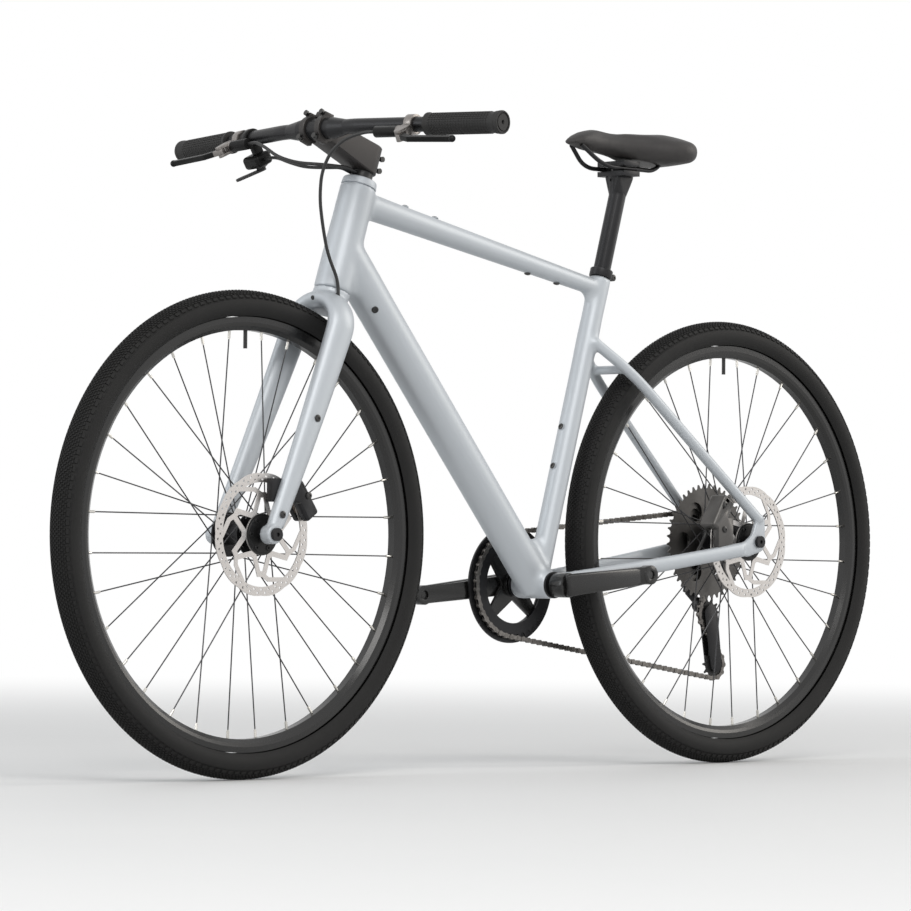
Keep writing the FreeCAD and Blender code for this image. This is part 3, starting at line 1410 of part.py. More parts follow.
def shifter_shape():
    f, center = pod_frame()
    width = s.shifter_ring_width
    ring = Part.makeCylinder(s.bar_radius + s.perch_ring_wall, width, f.point(-width * half_share, 0, 0),
                             f.out)
    neck = block(f.point(0, 0, -s.pod_drop * half_share), f.reach, f.up, s.pod_width * half_share,
                 s.pod_drop, width)
    pod = block(center, f.out, f.up, s.pod_length, s.pod_height, s.pod_width)
    pod = pod.makeFillet(s.pod_height * pod_corner_share, pod.Edges)
    depth = (s.paddle_wall + s.seat_gap) * 2 + s.seat_gap
    base = center - f.up * (s.pod_height * half_share + depth)
    pin = Part.makeCylinder(s.paddle_pin_radius, depth + s.pod_height * half_share, base, f.up)
    bar_hole = Part.makeCylinder(s.bar_radius + s.running_gap, width * 4, f.point(-width * 2, 0, 0), f.out)
    return ring.fuse([neck, pod]).cut(bar_hole).fuse(pin).removeSplitter()


def paddle_shape(level, reach_share, out_share):
    # A flat paddle on the pod's pin: the level counts down from the pod's underside.
    f, center = pod_frame()
    layer = s.paddle_wall + s.seat_gap
    drop = s.pod_height * half_share + s.seat_gap + layer * level + s.paddle_wall * half_share
    eye = center - f.up * drop
    tip = eye + f.reach * (s.paddle_length * reach_share) + f.out * (s.paddle_length * out_share)
    plate = lens(eye, tip, s.paddle_eye_radius, s.paddle_width * half_share, s.paddle_wall, f.up)
    bore = Part.makeCylinder(s.paddle_pin_radius + s.running_gap, s.paddle_wall * 4,
                             eye - f.up * (s.paddle_wall * 2), f.up)
    print("paddle", level, [round(c, 4) for c in eye], [round(c, 6) for c in f.up])
    return plate.cut(bore)


main_paddle_shares = (-0.8, 0.6)
release_paddle_shares = (0.85, 0.5)
pod_shape = shifter_shape()
node(feature("control_bodies", Part.makeCompound([perch_shape(LEFT), perch_shape(RIGHT), pod_shape])),
     "control_bodies")
for side, word in SIDES:
    node(feature(f"brake_lever_{word}", lever_shape(side)), f"brake_lever_{word}")
node(feature("shift_paddle_main", paddle_shape(0, *main_paddle_shares)), "shift_paddle_main")
node(feature("shift_paddle_release", paddle_shape(1, *release_paddle_shares)), "shift_paddle_release")


front_hose_shares = (
    (0.1437, 0.7234, -0.119),
    (0.1916, 0.5215, -0.2328),
    (0.2036, 0.3785, -0.4124),
    (0.1737, 0.3028, -0.64),
    (0.1138, 0.2692, -0.8675),
    (0.0419, 0.2524, -1.107),
)
rear_hose_shares = (
    (0.1557, 0.7403, -0.137),
    (0.1557, 0.5047, -0.2328),
    (0.0839, 0.2524, -0.2927),
    (-0.0599, 0.0336, -0.3046),
)
shift_housing_shares = (
    (-0.0359, 0.7822, -0.2208),
    (-0.012, 0.5611, -0.2687),
    (-0.0599, 0.3401, -0.3166),
    (-0.1676, 0.153, -0.3226),
)


def cable_shapes():
    # The front hose to the crown, and the rear hose and shift housing to the headset spacer.
    left, right = BarFrame(LEFT, s.perch_inset), BarFrame(RIGHT, s.perch_inset)
    tail = s.cylinder_outboard - s.cylinder_length
    arch_outer = s.crown_arch_radius + s.crown_half_wall
    port_along = math.sqrt(arch_outer ** 2 - (s.port_side - arch_side) ** 2) - s.crown_arch_drop
    lines = []
    exit_left = left.point(tail - s.seat_gap, s.cylinder_reach, 0)
    lead_left = exit_left - left.out * s.hose_lead
    front_route = [
        exit_left, lead_left,
        *route_points(bar_center, (s.head_tube_length, lead_left.y, s.head_tube_length), front_hose_shares),
        steer(port_along + s.hose_lead, s.crown_forward + s.hose_lead * half_share, s.port_side),
        steer(port_along - s.hose_radius * 2, s.crown_forward, s.port_side),
    ]
    lines.append(hose("front hose", front_route, s.hose_radius).cut(crown_form))
    port = spacer_base + s.spacer_height * half_share
    reach = s.spacer_radius + s.seat_gap
    exit_right = right.point(tail - s.seat_gap, s.cylinder_reach, 0)
    lead_right = exit_right - right.out * s.hose_lead
    rear_route = [
        exit_right, lead_right,
        *route_points(bar_center, (s.head_tube_length, lead_right.y, s.head_tube_length), rear_hose_shares),
        steer(port, reach + s.hose_lead, s.port_step), steer(port, reach, s.port_step),
    ]
    lines.append(hose("rear hose", rear_route, s.hose_radius))
    f, center = pod_frame()
    exit_pod = center - f.out * (s.pod_length * half_share + s.seat_gap)
    lead_pod = exit_pod - f.out * s.hose_lead
    shift_route = [
        exit_pod, lead_pod,
        *route_points(bar_center, (s.head_tube_length, lead_pod.y, s.head_tube_length), shift_housing_shares),
        steer(port, reach + s.hose_lead, -s.port_step), steer(port, reach, -s.port_step),
    ]
    lines.append(hose("shift housing", shift_route, s.housing_radius))
    return lines


node(feature("control_cables", Part.makeCompound(cable_shapes())), "control_cables")

# Calipers and pads


def caliper_frame(axle, direction, rotor_y):
    radial = unit(direction)
    tangent = Y_AXIS.cross(radial)
    band_middle = s.rotor_diameter * half_share - s.rotor_band * half_share
    return radial, tangent, axle + radial * band_middle + Y_AXIS * rotor_y


def pad_shape(frame_of, side):
    radial, tangent, middle = frame_of
    offset = (s.rotor_wall + s.pad_wall) * half_share + s.seat_gap
    return block(middle + Y_AXIS * (offset * side), tangent, radial, s.pad_length, s.pad_height, s.pad_wall)


def caliper_shape(frame_of, foot_at, foot_size, keep_clear):
    # Two cheeks beside the rotor, a bridge past its edge and a foot on the tube that carries it.
    radial, tangent, middle = frame_of
    slot = s.rotor_wall * half_share + s.seat_gap * 2 + s.pad_wall
    reach_in = s.pad_height * half_share + s.boss_stand
    edge = s.rotor_band * half_share + s.seat_gap * 4
    height = reach_in + edge + s.caliper_bridge
    lift = (edge + s.caliper_bridge - reach_in) * half_share
    outer = block(middle + radial * lift, tangent, radial, s.caliper_length, height,
                  (slot + s.caliper_side) * 2)
    outer = outer.makeFillet(s.caliper_corner, outer.Edges)
    gap_height = height - s.caliper_bridge
    gap_lift = lift - s.caliper_bridge * half_share
    gap = block(middle + radial * gap_lift, tangent, radial, s.caliper_length * 2, gap_height, slot * 2)
    foot = block(foot_at, X_AXIS, Z_AXIS, *foot_size)
    solid = outer.fuse(foot).cut([gap] + keep_clear)
    return max(solid.Solids, key=lambda part: part.Volume)


cheek = s.rotor_wall * half_share + s.seat_gap * 2 + s.pad_wall + s.caliper_side * half_share
front_caliper_shares = (-0.82, 0.574)
rear_caliper_shares = (0.86, 0.51)
front_frame = caliper_frame(front_axle, Vec(front_caliper_shares[0], 0, front_caliper_shares[1]),
                            front_rotor_y)
rear_frame = caliper_frame(rear_axle, Vec(rear_caliper_shares[0], 0, rear_caliper_shares[1]), rear_rotor_y)


def build_calipers():
    doc.recompute()
    blades = doc.getObject("fork_blades").Shape
    stays = doc.getObject("chain_stays").Shape
    drops = doc.getObject("rear_dropouts").Shape
    upper_stays = doc.getObject("seat_stays").Shape
    rotor_clear = s.rotor_diameter * half_share + s.seat_gap * 4

    def swept(axle, rotor_y):
        half = s.rotor_wall * half_share + s.seat_gap * 2
        return Part.makeCylinder(rotor_clear, half * 2, axle + Y_AXIS * (rotor_y - half), Y_AXIS)

    radial, tangent, middle = front_frame
    foot = middle + Y_AXIS * cheek + Vec(s.caliper_height, 0, s.caliper_height * half_share)
    size = (s.caliper_length, s.caliper_height, s.caliper_side)
    node(feature("front_caliper", caliper_shape(front_frame, foot, size,
                                                [blades, swept(front_axle, front_rotor_y)])),
         "front_caliper")
    radial, tangent, middle = rear_frame
    foot = middle + Y_AXIS * cheek - Z_AXIS * s.caliper_height
    size = (s.caliper_height, s.caliper_length, s.caliper_side)
    node(feature("rear_caliper", caliper_shape(rear_frame, foot, size,
                                               [stays, drops, upper_stays, swept(rear_axle, rear_rotor_y)])),
         "rear_caliper")
    for word, frame_of in (("front", front_frame), ("rear", rear_frame)):
        node(feature(f"{word}_pad_outer", pad_shape(frame_of, LEFT)), f"{word}_pad_outer")
        node(feature(f"{word}_pad_inner", pad_shape(frame_of, RIGHT)), f"{word}_pad_inner")


build_calipers()

# Chain, sprockets and cranks


def pitch_radius(teeth):
    return s.chain_pitch * half_share / math.sin(math.pi / teeth)


root_gap = 60
tooth_rise_share = 0.78
tooth_tip_share = 0.08
root_share = 1.05


def toothed_face(teeth, phase):
    # Roller seats as arcs joined by straight flanks to flat tooth tips, in the plane of the wheels.
    radius, seat_r = pitch_radius(teeth), s.roller_radius * root_share
    step = 360 / teeth
    edges, last, first = [], None, None
    for i in range(int(teeth)):
        angle = phase + i * step
        center = polar(radius, angle)
        outward, across = polar(1, angle), polar(1, angle + 90)
        lean = math.radians(root_gap)
        low = outward * (-seat_r * math.cos(lean))
        wide = across * (seat_r * math.sin(lean))
        start, end = center + low - wide, center + low + wide
        bottom = center - outward * seat_r
        tip_r = radius + s.roller_radius * tooth_rise_share
        middle = angle + step * half_share
        tip_half = math.degrees(s.chain_pitch * tooth_tip_share / radius)
        tip_a, tip_b = polar(tip_r, middle - tip_half), polar(tip_r, middle + tip_half)
        if last is not None:
            edges.append(Part.LineSegment(last, start).toShape())
        else:
            first = start
        edges.append(Part.Arc(start, bottom, end).toShape())
        edges.append(Part.LineSegment(end, tip_a).toShape())
        edges.append(Part.LineSegment(tip_a, tip_b).toShape())
        last = tip_b
    edges.append(Part.LineSegment(last, first).toShape())
    return Part.Face(Part.Wire(edges))


def toothed_plate(teeth, phase, wall, at, bores):
    plate = toothed_face(teeth, phase).extrude(Y_AXIS * wall)
    tall = wall + s.cut_overrun
    cutters = [Part.makeCylinder(r, tall, spot - Y_AXIS * (s.cut_overrun * half_share), Y_AXIS) for spot,
               r in bores]
    plate = plate.cut(cutters)
    plate.translate(at - Y_AXIS * (wall * half_share))
    return plate


class ChainWheel:
    # A wheel that the chain wraps: turn is -1 where it turns as the crank does, seen from the right.
    def __init__(self, center, teeth, turn):
        self.center, self.teeth, self.turn = center, teeth, turn
        self.radius = pitch_radius(teeth)


def leave_angle(a, b):
    # The heading of the straight run from wheel a to wheel b.
    dx, dz = b.center.x - a.center.x, b.center.z - a.center.z
    lean = math.asin((a.radius * a.turn - b.radius * b.turn) / math.hypot(dx, dz))
    return math.atan2(dz, dx) + lean


def rim_angle(wheel, heading):
    return heading - wheel.turn * math.pi * half_share


def chain_wheels(cage_angle):
    lean = math.radians(cage_angle)
    guide = rear_axle + Vec(s.guide_x, 0, s.guide_z)
    tension = guide + Vec(-math.sin(lean), 0, -math.cos(lean)) * s.cage_length
    cog = SPROCKET_TEETH[int(s.engaged_index)]
    return [
        ChainWheel(bracket, s.ring_teeth, -1), ChainWheel(tension, s.pulley_teeth, -1),
        ChainWheel(guide, s.pulley_teeth, 1), ChainWheel(rear_axle, cog, -1),
    ]


def chain_spans(wheels):
    # For each wheel: the rim angle where the chain comes on, the angle it wraps, and the run that follows.
    count = len(wheels)
    headings = [leave_angle(wheels[i], wheels[(i + 1) % count]) for i in range(count)]
    spans = []
    for i, wheel in enumerate(wheels):
        on, off = rim_angle(wheel, headings[i - 1]), rim_angle(wheel, headings[i])
        wrap = ((off - on) * wheel.turn) % (2 * math.pi)
        after = wheels[(i + 1) % count]
        gap = math.hypot(after.center.x - wheel.center.x, after.center.z - wheel.center.z)
        run = math.sqrt(gap ** 2 - (wheel.radius * wheel.turn - after.radius * after.turn) ** 2)
        spans.append((wheel, on, wrap, run, headings[i]))
    return spans


def link_count(cage_angle):
    total = 0
    for wheel, _, wrap, run, _ in chain_spans(chain_wheels(cage_angle)):
        total += wheel.teeth * wrap / (2 * math.pi) + run / s.chain_pitch
    return total


def settle_cage():
    # The cage swings until the chain is a whole, even number of links.
    target = 2 * round(link_count(s.cage_angle) * half_share)
    low, high = s.cage_angle - s.cage_search, s.cage_angle + s.cage_search
    rising = link_count(high) > link_count(low)
    for _ in range(int(s.solver_steps)):
        middle = (low + high) * half_share
        if (link_count(middle) < target) == rising:
            low = middle
        else:
            high = middle
    return middle, target


cage_angle, links = settle_cage()
wheels = chain_wheels(cage_angle)
spans = chain_spans(wheels)
chain_plane = Y_AXIS * -s.chain_line
print("cage angle", round(cage_angle, 3), "links", links, round(link_count(cage_angle), 4))


def roller_places():
    # Walks the loop one pitch at a time, from the first wheel's first tooth.
    places, phases = [], {}
    travelled, index = 0.0, 0
    for wheel, on, wrap, run, heading in spans:
        teeth_wrapped = wheel.teeth * wrap / (2 * math.pi)
        while index < travelled + teeth_wrapped:
            angle = on + wheel.turn * (index - travelled) * 2 * math.pi / wheel.teeth
            places.append(wheel.center + polar(wheel.radius, math.degrees(angle)))
            phases.setdefault(id(wheel), math.degrees(angle))
            index += 1
        travelled += teeth_wrapped
        off = on + wheel.turn * wrap
        start = wheel.center + polar(wheel.radius, math.degrees(off))
        along = Vec(math.cos(heading), 0, math.sin(heading))
        while index < travelled + run / s.chain_pitch and index < links:
            places.append(start + along * ((index - travelled) * s.chain_pitch))
            index += 1
        travelled += run / s.chain_pitch
    return places[:links], [phases[id(wheel)] for wheel in wheels]


def plate_shape(low_y, wall):
    # A waisted side plate between two rollers one pitch apart on the X axis.
    ends = [Part.makeCylinder(s.plate_end_radius, wall, Vec(x, low_y, 0), Y_AXIS)
            for x in (0, s.chain_pitch)]
    waist = Part.makeBox(s.chain_pitch, wall, s.plate_waist * 2, Vec(0, low_y, -s.plate_waist))
    return ends[0].fuse([ends[1], waist]).removeSplitter()


def link_shapes():
    half = s.inner_width * half_share
    inner_face = half + s.inner_plate_wall
    outer_face = inner_face + s.plate_gap
    stand = outer_face + s.outer_plate_wall + s.pin_stand
    inner, outer = [], []
    for low, wall in ((half, s.inner_plate_wall), (-inner_face, s.inner_plate_wall)):
        inner.append(plate_shape(low, wall))
    for low in (outer_face, -outer_face - s.outer_plate_wall):
        outer.append(plate_shape(low, s.outer_plate_wall))
    bores = []
    for x in (0, s.chain_pitch):
        inner.append(Part.makeCylinder(s.roller_radius, half * 2, Vec(x, -half, 0), Y_AXIS))
        bores.append(Part.makeCylinder(s.bush_bore, inner_face * 2, Vec(x, -inner_face, 0), Y_AXIS))
        outer.append(Part.makeCylinder(s.pin_radius, stand * 2, Vec(x, -stand, 0), Y_AXIS))
    return inner[0].fuse(inner[1:]).cut(bores).removeSplitter(), outer[0].fuse(outer[1:]).removeSplitter()


def chain_shape(places):
    kinds = link_shapes()
    solids = []
    for i, here in enumerate(places):
        after = places[(i + 1) % len(places)]
        along = unit(after - here)
        slack = ((after - here).Length - s.chain_pitch) * half_share
        solid = kinds[i % 2].copy()
        turn = FreeCAD.Rotation(along, Y_AXIS, along.cross(Y_AXIS), "XYZ")
        solid.Placement = FreeCAD.Placement(here + along * slack + chain_plane, turn)
        solids.append(solid)
    return Part.makeCompound(solids)


rollers, (ring_phase, tension_phase, guide_phase, cog_phase) = roller_places()
node(feature("chain", chain_shape(rollers)), "chain")

window_count = 6
window_place_share = 0.55
window_size_share = 0.22


def cassette_shapes():
    solids = []
    bore = s.freehub_radius + s.running_gap
    for i, teeth in enumerate(SPROCKET_TEETH):
        y = -s.chain_line + (i - s.engaged_index) * s.sprocket_spacing
        span = pitch_radius(teeth) - s.roller_radius - bore
        holes = [(Vec(), bore)]
        if span > bore:
            for k in range(window_count):
                holes.append((polar(bore + span * window_place_share, k * 360 / window_count),
                              span * window_size_share))
        phase = cog_phase if i == int(s.engaged_index) else cog_phase + 360 * half_share / teeth
        solids.append(toothed_plate(teeth, phase, s.sprocket_wall, rear_axle + Y_AXIS * y, holes))
    low = s.rear_hub_width * half_share - s.seat_gap
    body = shell_ring(s.freehub_radius, s.axle_radius + s.running_gap, low - freehub_inner_y - s.seat_gap,
                      rear_axle - Y_AXIS * low, Y_AXIS)
    return solids + [body]


node(feature("cassette", Part.makeCompound(cassette_shapes())), "cassette")

spider_bolt_radius = s.spider_radius - s.spider_arm_width * half_share
guard_y = -s.chain_line - s.ring_wall * half_share - s.spider_wall - s.guard_wall


def chainring_shapes():
    # The toothed ring, and the plain guard ring outside the spider.
    ring = toothed_plate(s.ring_teeth, ring_phase, s.ring_wall, bracket + chain_plane,
                         [(Vec(), s.ring_inner_radius)])
    guard = shell_ring(s.guard_radius, s.guard_inner_radius, s.guard_wall, bracket + Y_AXIS * guard_y,
                       Y_AXIS)
    return [ring, guard]


crank_back = polar(1, 180 - s.crank_angle)


def crank_shape(side):
    # Left arm points back, right arm forward: boss, tapered arm and pedal eye.
    toward = crank_back * side
    out = Y_AXIS * side
    boss_in = s.crank_boss_side
    hub_boss = Part.makeCylinder(s.crank_boss_radius, s.crank_boss_wall, bracket + out * boss_in, out)
    eye_at = bracket + toward * s.crank_length
    eye = Part.makeCylinder(s.crank_eye_radius, s.crank_wall, eye_at + out * s.crank_tip_side, out)
    across = unit(out.cross(toward))
    wires = []
    boss_middle = boss_in + s.crank_boss_wall - s.crank_wall * half_share
    tip_middle = s.crank_tip_side + s.crank_wall * half_share
    for along, middle, radius in ((0, boss_middle, s.crank_boss_radius),
                                  (s.crank_length, tip_middle, s.crank_eye_radius)):
        at = bracket + toward * along + out * middle
        half_wall = s.crank_wall * half_share
        tall = radius * crank_arm_share
        corners = [at + out * half_wall * a + across * tall * b for a,
                   b in ((-1, -1), (-1, 1), (1, 1), (1, -1))]
        wires.append(Part.makePolygon(corners + corners[:1]))
    arm = Part.makeLoft(wires, True, True)
    solid = hub_boss.fuse([eye, arm])
    cutters = [
        Part.makeCylinder(s.spindle_radius + s.running_gap, s.crank_boss_wall * 2,
                          bracket + out * (boss_in - s.crank_boss_wall * half_share), out),
        Part.makeCylinder(s.pedal_hole_radius, s.crank_wall * 4,
                          eye_at + out * (s.crank_tip_side - s.crank_wall), out),
    ]
    if side == RIGHT:
        arms = []
        spider_y = -s.chain_line - s.ring_wall * half_share - s.spider_wall * half_share
        count = int(s.spider_arm_count)
        for i in range(count):
            end = bracket + polar(spider_bolt_radius, (i + half_share) * 360 / count) + Y_AXIS * spider_y
            arms.append(lens(bracket + Y_AXIS * spider_y, end, s.crank_boss_radius,
                             s.spider_arm_width * half_share, s.spider_wall, Y_AXIS))
        solid = solid.fuse(arms)
    print("pedal", side, [round(c, 4) for c in eye_at + out * (s.crank_tip_side + s.crank_wall)])
    return solid.cut(cutters).removeSplitter()


crank_arm_share = 0.8


def spindle_shape():
    outer = s.crank_boss_side + s.crank_boss_wall - s.boss_stand
    shaft = Part.makeCylinder(s.spindle_radius, outer * 2, bracket - Y_AXIS * outer, Y_AXIS)
    caps = []
    for side, _ in SIDES:
        out = Y_AXIS * side
        face = bracket + out * (outer + s.boss_stand * 2)
        caps.append(rod(face, face + out * (s.boss_stand * 2), s.spindle_radius + s.boss_stand))
        caps.append(rod(bracket + out * outer, face, s.spindle_radius * half_share))
    return shaft.fuse(caps).removeSplitter()


node(feature("crank_spindle", spindle_shape()), "crank_spindle")
for side, word in SIDES:
    node(feature(f"crank_arm_{word}", crank_shape(side)), f"crank_arm_{word}")
node(feature("chainring", Part.makeCompound(chainring_shapes())), "chainring")

# Rear derailleur

hanger = rear_axle + Vec(-s.hanger_x, -dropout_outer_y, -s.hanger_z)
guide_at, tension_at = wheels[2].center + chain_plane, wheels[1].center + chain_plane
cage_pivot = guide_at + Vec(s.cage_pivot_x, 0, s.cage_pivot_z)
plate_out = s.cage_half_width + s.cage_wall
down = math.radians(s.link_down_angle)
slant = math.radians(s.link_in_angle)
link_u = Vec(math.cos(down), 0, -math.sin(down))
link_w = Y_AXIS * math.cos(slant) + Vec(-math.sin(down), 0, -math.cos(down)) * math.sin(slant)
link_v = link_u.cross(link_w)
knuckle_y = -plate_out - s.seat_gap - s.knuckle_length
link_low = cage_pivot + Vec(s.link_step_x, -s.link_step_y, s.link_step_z)
link_high = link_low - link_u * s.link_length


def link_point(base, u, v, w):
    return base + link_u * u + link_v * v + link_w * w


def lugs(base, sign):
    # Two bored lugs on a block: sign says on which side of the pivots the block stands.
    depth = s.link_ear_radius * 3
    stand = s.boss_stand + depth * half_share
    solid = block(link_point(base, sign * stand, 0, 0), link_u, link_w, depth, s.link_spread * 2,
                  s.link_lug_half * 2)
    bores = []
    for w in (-s.link_spread, s.link_spread):
        start, end = link_point(base, 0, -s.link_lug_half, w), link_point(base, 0, s.link_lug_half, w)
        solid = solid.fuse(rod(start, end, s.link_ear_radius))
        bores.append(rod(start - link_v * s.link_lug_half, end + link_v * s.link_lug_half,
                         s.link_pin_radius + s.running_gap))
    return solid, bores


def link_shape(w):
    cheek = s.link_lug_half + s.seat_gap + s.link_ear_wall * half_share
    high, low = link_point(link_high, 0, 0, w), link_point(link_low, 0, 0, w)
    solids = []
    for v in (-cheek, cheek):
        solids.append(lens(high + link_v * v, low + link_v * v, s.link_ear_radius, s.link_ear_radius,
                           s.link_ear_wall, link_v))
    web_length = s.link_length - (s.link_ear_radius + s.boss_stand) * 2
    solids.append(block((high + low) * half_share, link_u, link_w, web_length, s.link_web_wall, cheek * 2))
    for at in (high, low):
        solids.append(rod(at - link_v * cheek, at + link_v * cheek, s.link_pin_radius))
    return solids[0].fuse(solids[1:]).removeSplitter()


elbow = link_point(link_high, -s.elbow_u, 0, -s.elbow_w)
housing_end = elbow - X_AXIS * s.barrel_length


def mount_shape():
    # The bolt through the hanger, a boss outside it and an arm to the upper lugs.
    bolt = rod(hanger + Y_AXIS * s.dropout_wall, hanger - Y_AXIS * s.mount_length, s.hanger_bolt_radius)
    boss_start = hanger - Y_AXIS * s.seat_gap
    boss_end = hanger - Y_AXIS * s.mount_length
    round_boss = rod(boss_start, boss_end, s.mount_radius)
    head_block, bores = lugs(link_high, -1)
    root = link_point(link_high, -s.link_ear_radius * 2, 0, 0)
    middle = (boss_start + boss_end) * half_share
    radius = s.arm_radius
    arm = rod(root, elbow, radius).fuse([rod(elbow, middle, radius), Part.makeSphere(radius, elbow)])
    arm = arm.cut(rod(boss_start, boss_start + Y_AXIS * s.cut_overrun, s.mount_radius + s.dropout_wall))
    barrel = rod(elbow, housing_end, s.barrel_radius)
    return round_boss.fuse([bolt, head_block, arm, barrel]).cut(bores).removeSplitter()


def knuckle_shape():
    head_block, bores = lugs(link_low, 1)
    pivot_start = cage_pivot - Y_AXIS * (plate_out + s.seat_gap)
    body = rod(pivot_start, pivot_start - Y_AXIS * s.knuckle_length, s.knuckle_radius)
    middle = pivot_start - Y_AXIS * (s.knuckle_length * half_share)
    neck = rod(link_point(link_low, s.link_ear_radius * 3, 0, 0), middle, s.arm_radius)
    pin_bore = rod(pivot_start + Y_AXIS * s.cut_overrun, pivot_start - Y_AXIS * s.knuckle_length,
                   s.cage_pivot_radius + s.running_gap)
    return body.fuse([head_block, neck]).cut(bores + [pin_bore]).removeSplitter()


def cage_shape():
    solids = []
    wall = s.cage_wall
    for side, _ in SIDES:
        shift = Y_AXIS * (side * (s.cage_half_width + wall * half_share))
        solids.append(lens(guide_at + shift, tension_at + shift, s.cage_lobe_radius, s.cage_tail_radius,
                           wall, Y_AXIS))
        if side == RIGHT:
            solids.append(lens(guide_at + shift, cage_pivot + shift, s.cage_lobe_radius, s.knuckle_radius,
                               wall, Y_AXIS))
    for at in (guide_at, tension_at):
        solids.append(rod(at - Y_AXIS * plate_out, at + Y_AXIS * plate_out, s.pulley_bolt_radius))
    pin_end = plate_out + s.knuckle_length
    solids.append(rod(cage_pivot - Y_AXIS * s.cage_half_width, cage_pivot - Y_AXIS * pin_end,
                      s.cage_pivot_radius))
    return solids[0].fuse(solids[1:]).removeSplitter()


def pulley_shape(at, phase):
    bore = s.pulley_bolt_radius + s.running_gap
    plate = toothed_plate(s.pulley_teeth, phase, s.pulley_wall, at, [(Vec(), bore)])
    half = s.cage_half_width - s.seat_gap
    hub = shell_ring(s.pulley_hub_radius, bore, half * 2, at - Y_AXIS * half, Y_AXIS)
    return plate.fuse(hub).removeSplitter()


node(feature("derailleur_mount", mount_shape()), "derailleur_mount")
node(feature("derailleur_outer_link", link_shape(-s.link_spread)), "derailleur_outer_link")
node(feature("derailleur_inner_link", link_shape(s.link_spread)), "derailleur_inner_link")
node(feature("derailleur_knuckle", knuckle_shape()), "derailleur_knuckle")
node(feature("derailleur_cage", cage_shape()), "derailleur_cage")
node(feature("guide_pulley", pulley_shape(guide_at, guide_phase)), "guide_pulley")
node(feature("tension_pulley", pulley_shape(tension_at, tension_phase)), "tension_pulley")


housing_leave_shares = (
    (0.1207, 0.0, -0.0368),
    (0.0425, 0.0, -0.0207),
)
housing_loop_shares = (
    (-0.0678, -0.223, 0.046),
    (-0.1644, -0.223, 0.0851),
    (-0.2586, -0.2207, 0.0874),
    (-0.3023, -0.2138, 0.0115),
    (-0.2586, -0.2069, -0.0644),
)
hose_entry_shares = (
    (0.3046, 0.1425, -0.0529),
)


def rear_line_shapes():
    # The shift housing from the right stay to the derailleur, and the hose from the left stay to the caliper.
    side_y = -s.chain_stay_rear_side - s.chain_stay_rear_width * half_share - s.housing_radius
    stay_lengths = (s.chainstay_length,) * 3
    first, second = route_points(rear_axle, stay_lengths, housing_leave_shares)
    housing_route = [
        first + Y_AXIS * (side_y - s.seat_gap), second + Y_AXIS * (side_y - s.housing_radius * 2),
        *route_points(rear_axle, stay_lengths, housing_loop_shares),
        housing_end - X_AXIS * s.seat_gap,
    ]
    radial, tangent, middle = rear_frame
    mouth = middle - Y_AXIS * cheek + tangent * (s.caliper_length * half_share + s.seat_gap)
    hose_route = [mouth, mouth + tangent * s.hose_lead,
                  *route_points(rear_axle, stay_lengths, hose_entry_shares)]
    stays = doc.getObject("chain_stays").Shape
    housing = hose("rear housing", housing_route, s.housing_radius)
    return [housing, hose("rear hose end", hose_route, s.hose_radius).cut(stays)]


node(feature("rear_lines", Part.makeCompound(rear_line_shapes())), "rear_lines")

for name, point in (("hanger", hanger), ("guide", guide_at), ("tension", tension_at),
                    ("cage_pivot", cage_pivot),
                    ("link_high", link_high), ("link_low", link_low), ("link_v", link_v), ("link_w",
                                                                                           link_w),
                    ("bar_center", bar_center), ("front_pad", front_frame[2]), ("rear_pad", rear_frame[2]),
                    ("post_top", post_top), ("front_axle", front_axle), ("rear_axle", rear_axle)):
    print("mark", name, [round(c, 5) for c in point])
print("mark bracket", bracket, "crown", crown, "seat_top", seat_top, "steer_up", steer_up, "seat_up",
      seat_up)

doc.recompute()
failed = [o.Name for o in doc.Objects if "Invalid" in o.State or "Error" in o.State]
for obj in parts:
    if obj.Shape.isNull() or not obj.Shape.isValid():
        failed.append(obj.Label)
if failed:
    raise RuntimeError("failed: " + ", ".join(failed))
os.makedirs("parts", exist_ok=True)
for obj in parts:
    obj.Shape.exportStep(f"parts/{obj.Label}.step")
print(len(parts), "pieces")
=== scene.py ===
import json
import math
import bpy
from mathutils import Matrix, Vector

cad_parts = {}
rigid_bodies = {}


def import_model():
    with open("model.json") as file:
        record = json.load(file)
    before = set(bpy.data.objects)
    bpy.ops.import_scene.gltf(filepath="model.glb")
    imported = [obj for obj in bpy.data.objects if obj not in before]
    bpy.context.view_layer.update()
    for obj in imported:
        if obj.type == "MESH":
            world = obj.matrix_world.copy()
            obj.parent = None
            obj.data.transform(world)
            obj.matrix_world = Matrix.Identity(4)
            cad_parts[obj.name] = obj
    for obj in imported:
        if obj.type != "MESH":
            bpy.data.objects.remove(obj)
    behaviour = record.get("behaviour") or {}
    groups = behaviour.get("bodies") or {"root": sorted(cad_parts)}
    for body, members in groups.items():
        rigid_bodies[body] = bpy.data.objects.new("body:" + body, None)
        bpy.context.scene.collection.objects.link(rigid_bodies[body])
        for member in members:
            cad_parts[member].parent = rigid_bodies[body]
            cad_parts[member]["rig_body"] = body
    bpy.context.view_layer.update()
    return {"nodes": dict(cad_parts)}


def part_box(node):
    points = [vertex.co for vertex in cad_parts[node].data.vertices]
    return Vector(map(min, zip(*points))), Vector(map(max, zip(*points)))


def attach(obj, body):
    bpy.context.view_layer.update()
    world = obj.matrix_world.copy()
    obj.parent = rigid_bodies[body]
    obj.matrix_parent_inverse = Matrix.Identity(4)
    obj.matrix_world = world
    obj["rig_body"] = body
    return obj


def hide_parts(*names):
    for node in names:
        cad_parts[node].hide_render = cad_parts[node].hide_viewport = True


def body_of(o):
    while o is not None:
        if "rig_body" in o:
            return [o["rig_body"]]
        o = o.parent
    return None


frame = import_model()
scene = bpy.context.scene
nodes = frame["nodes"]

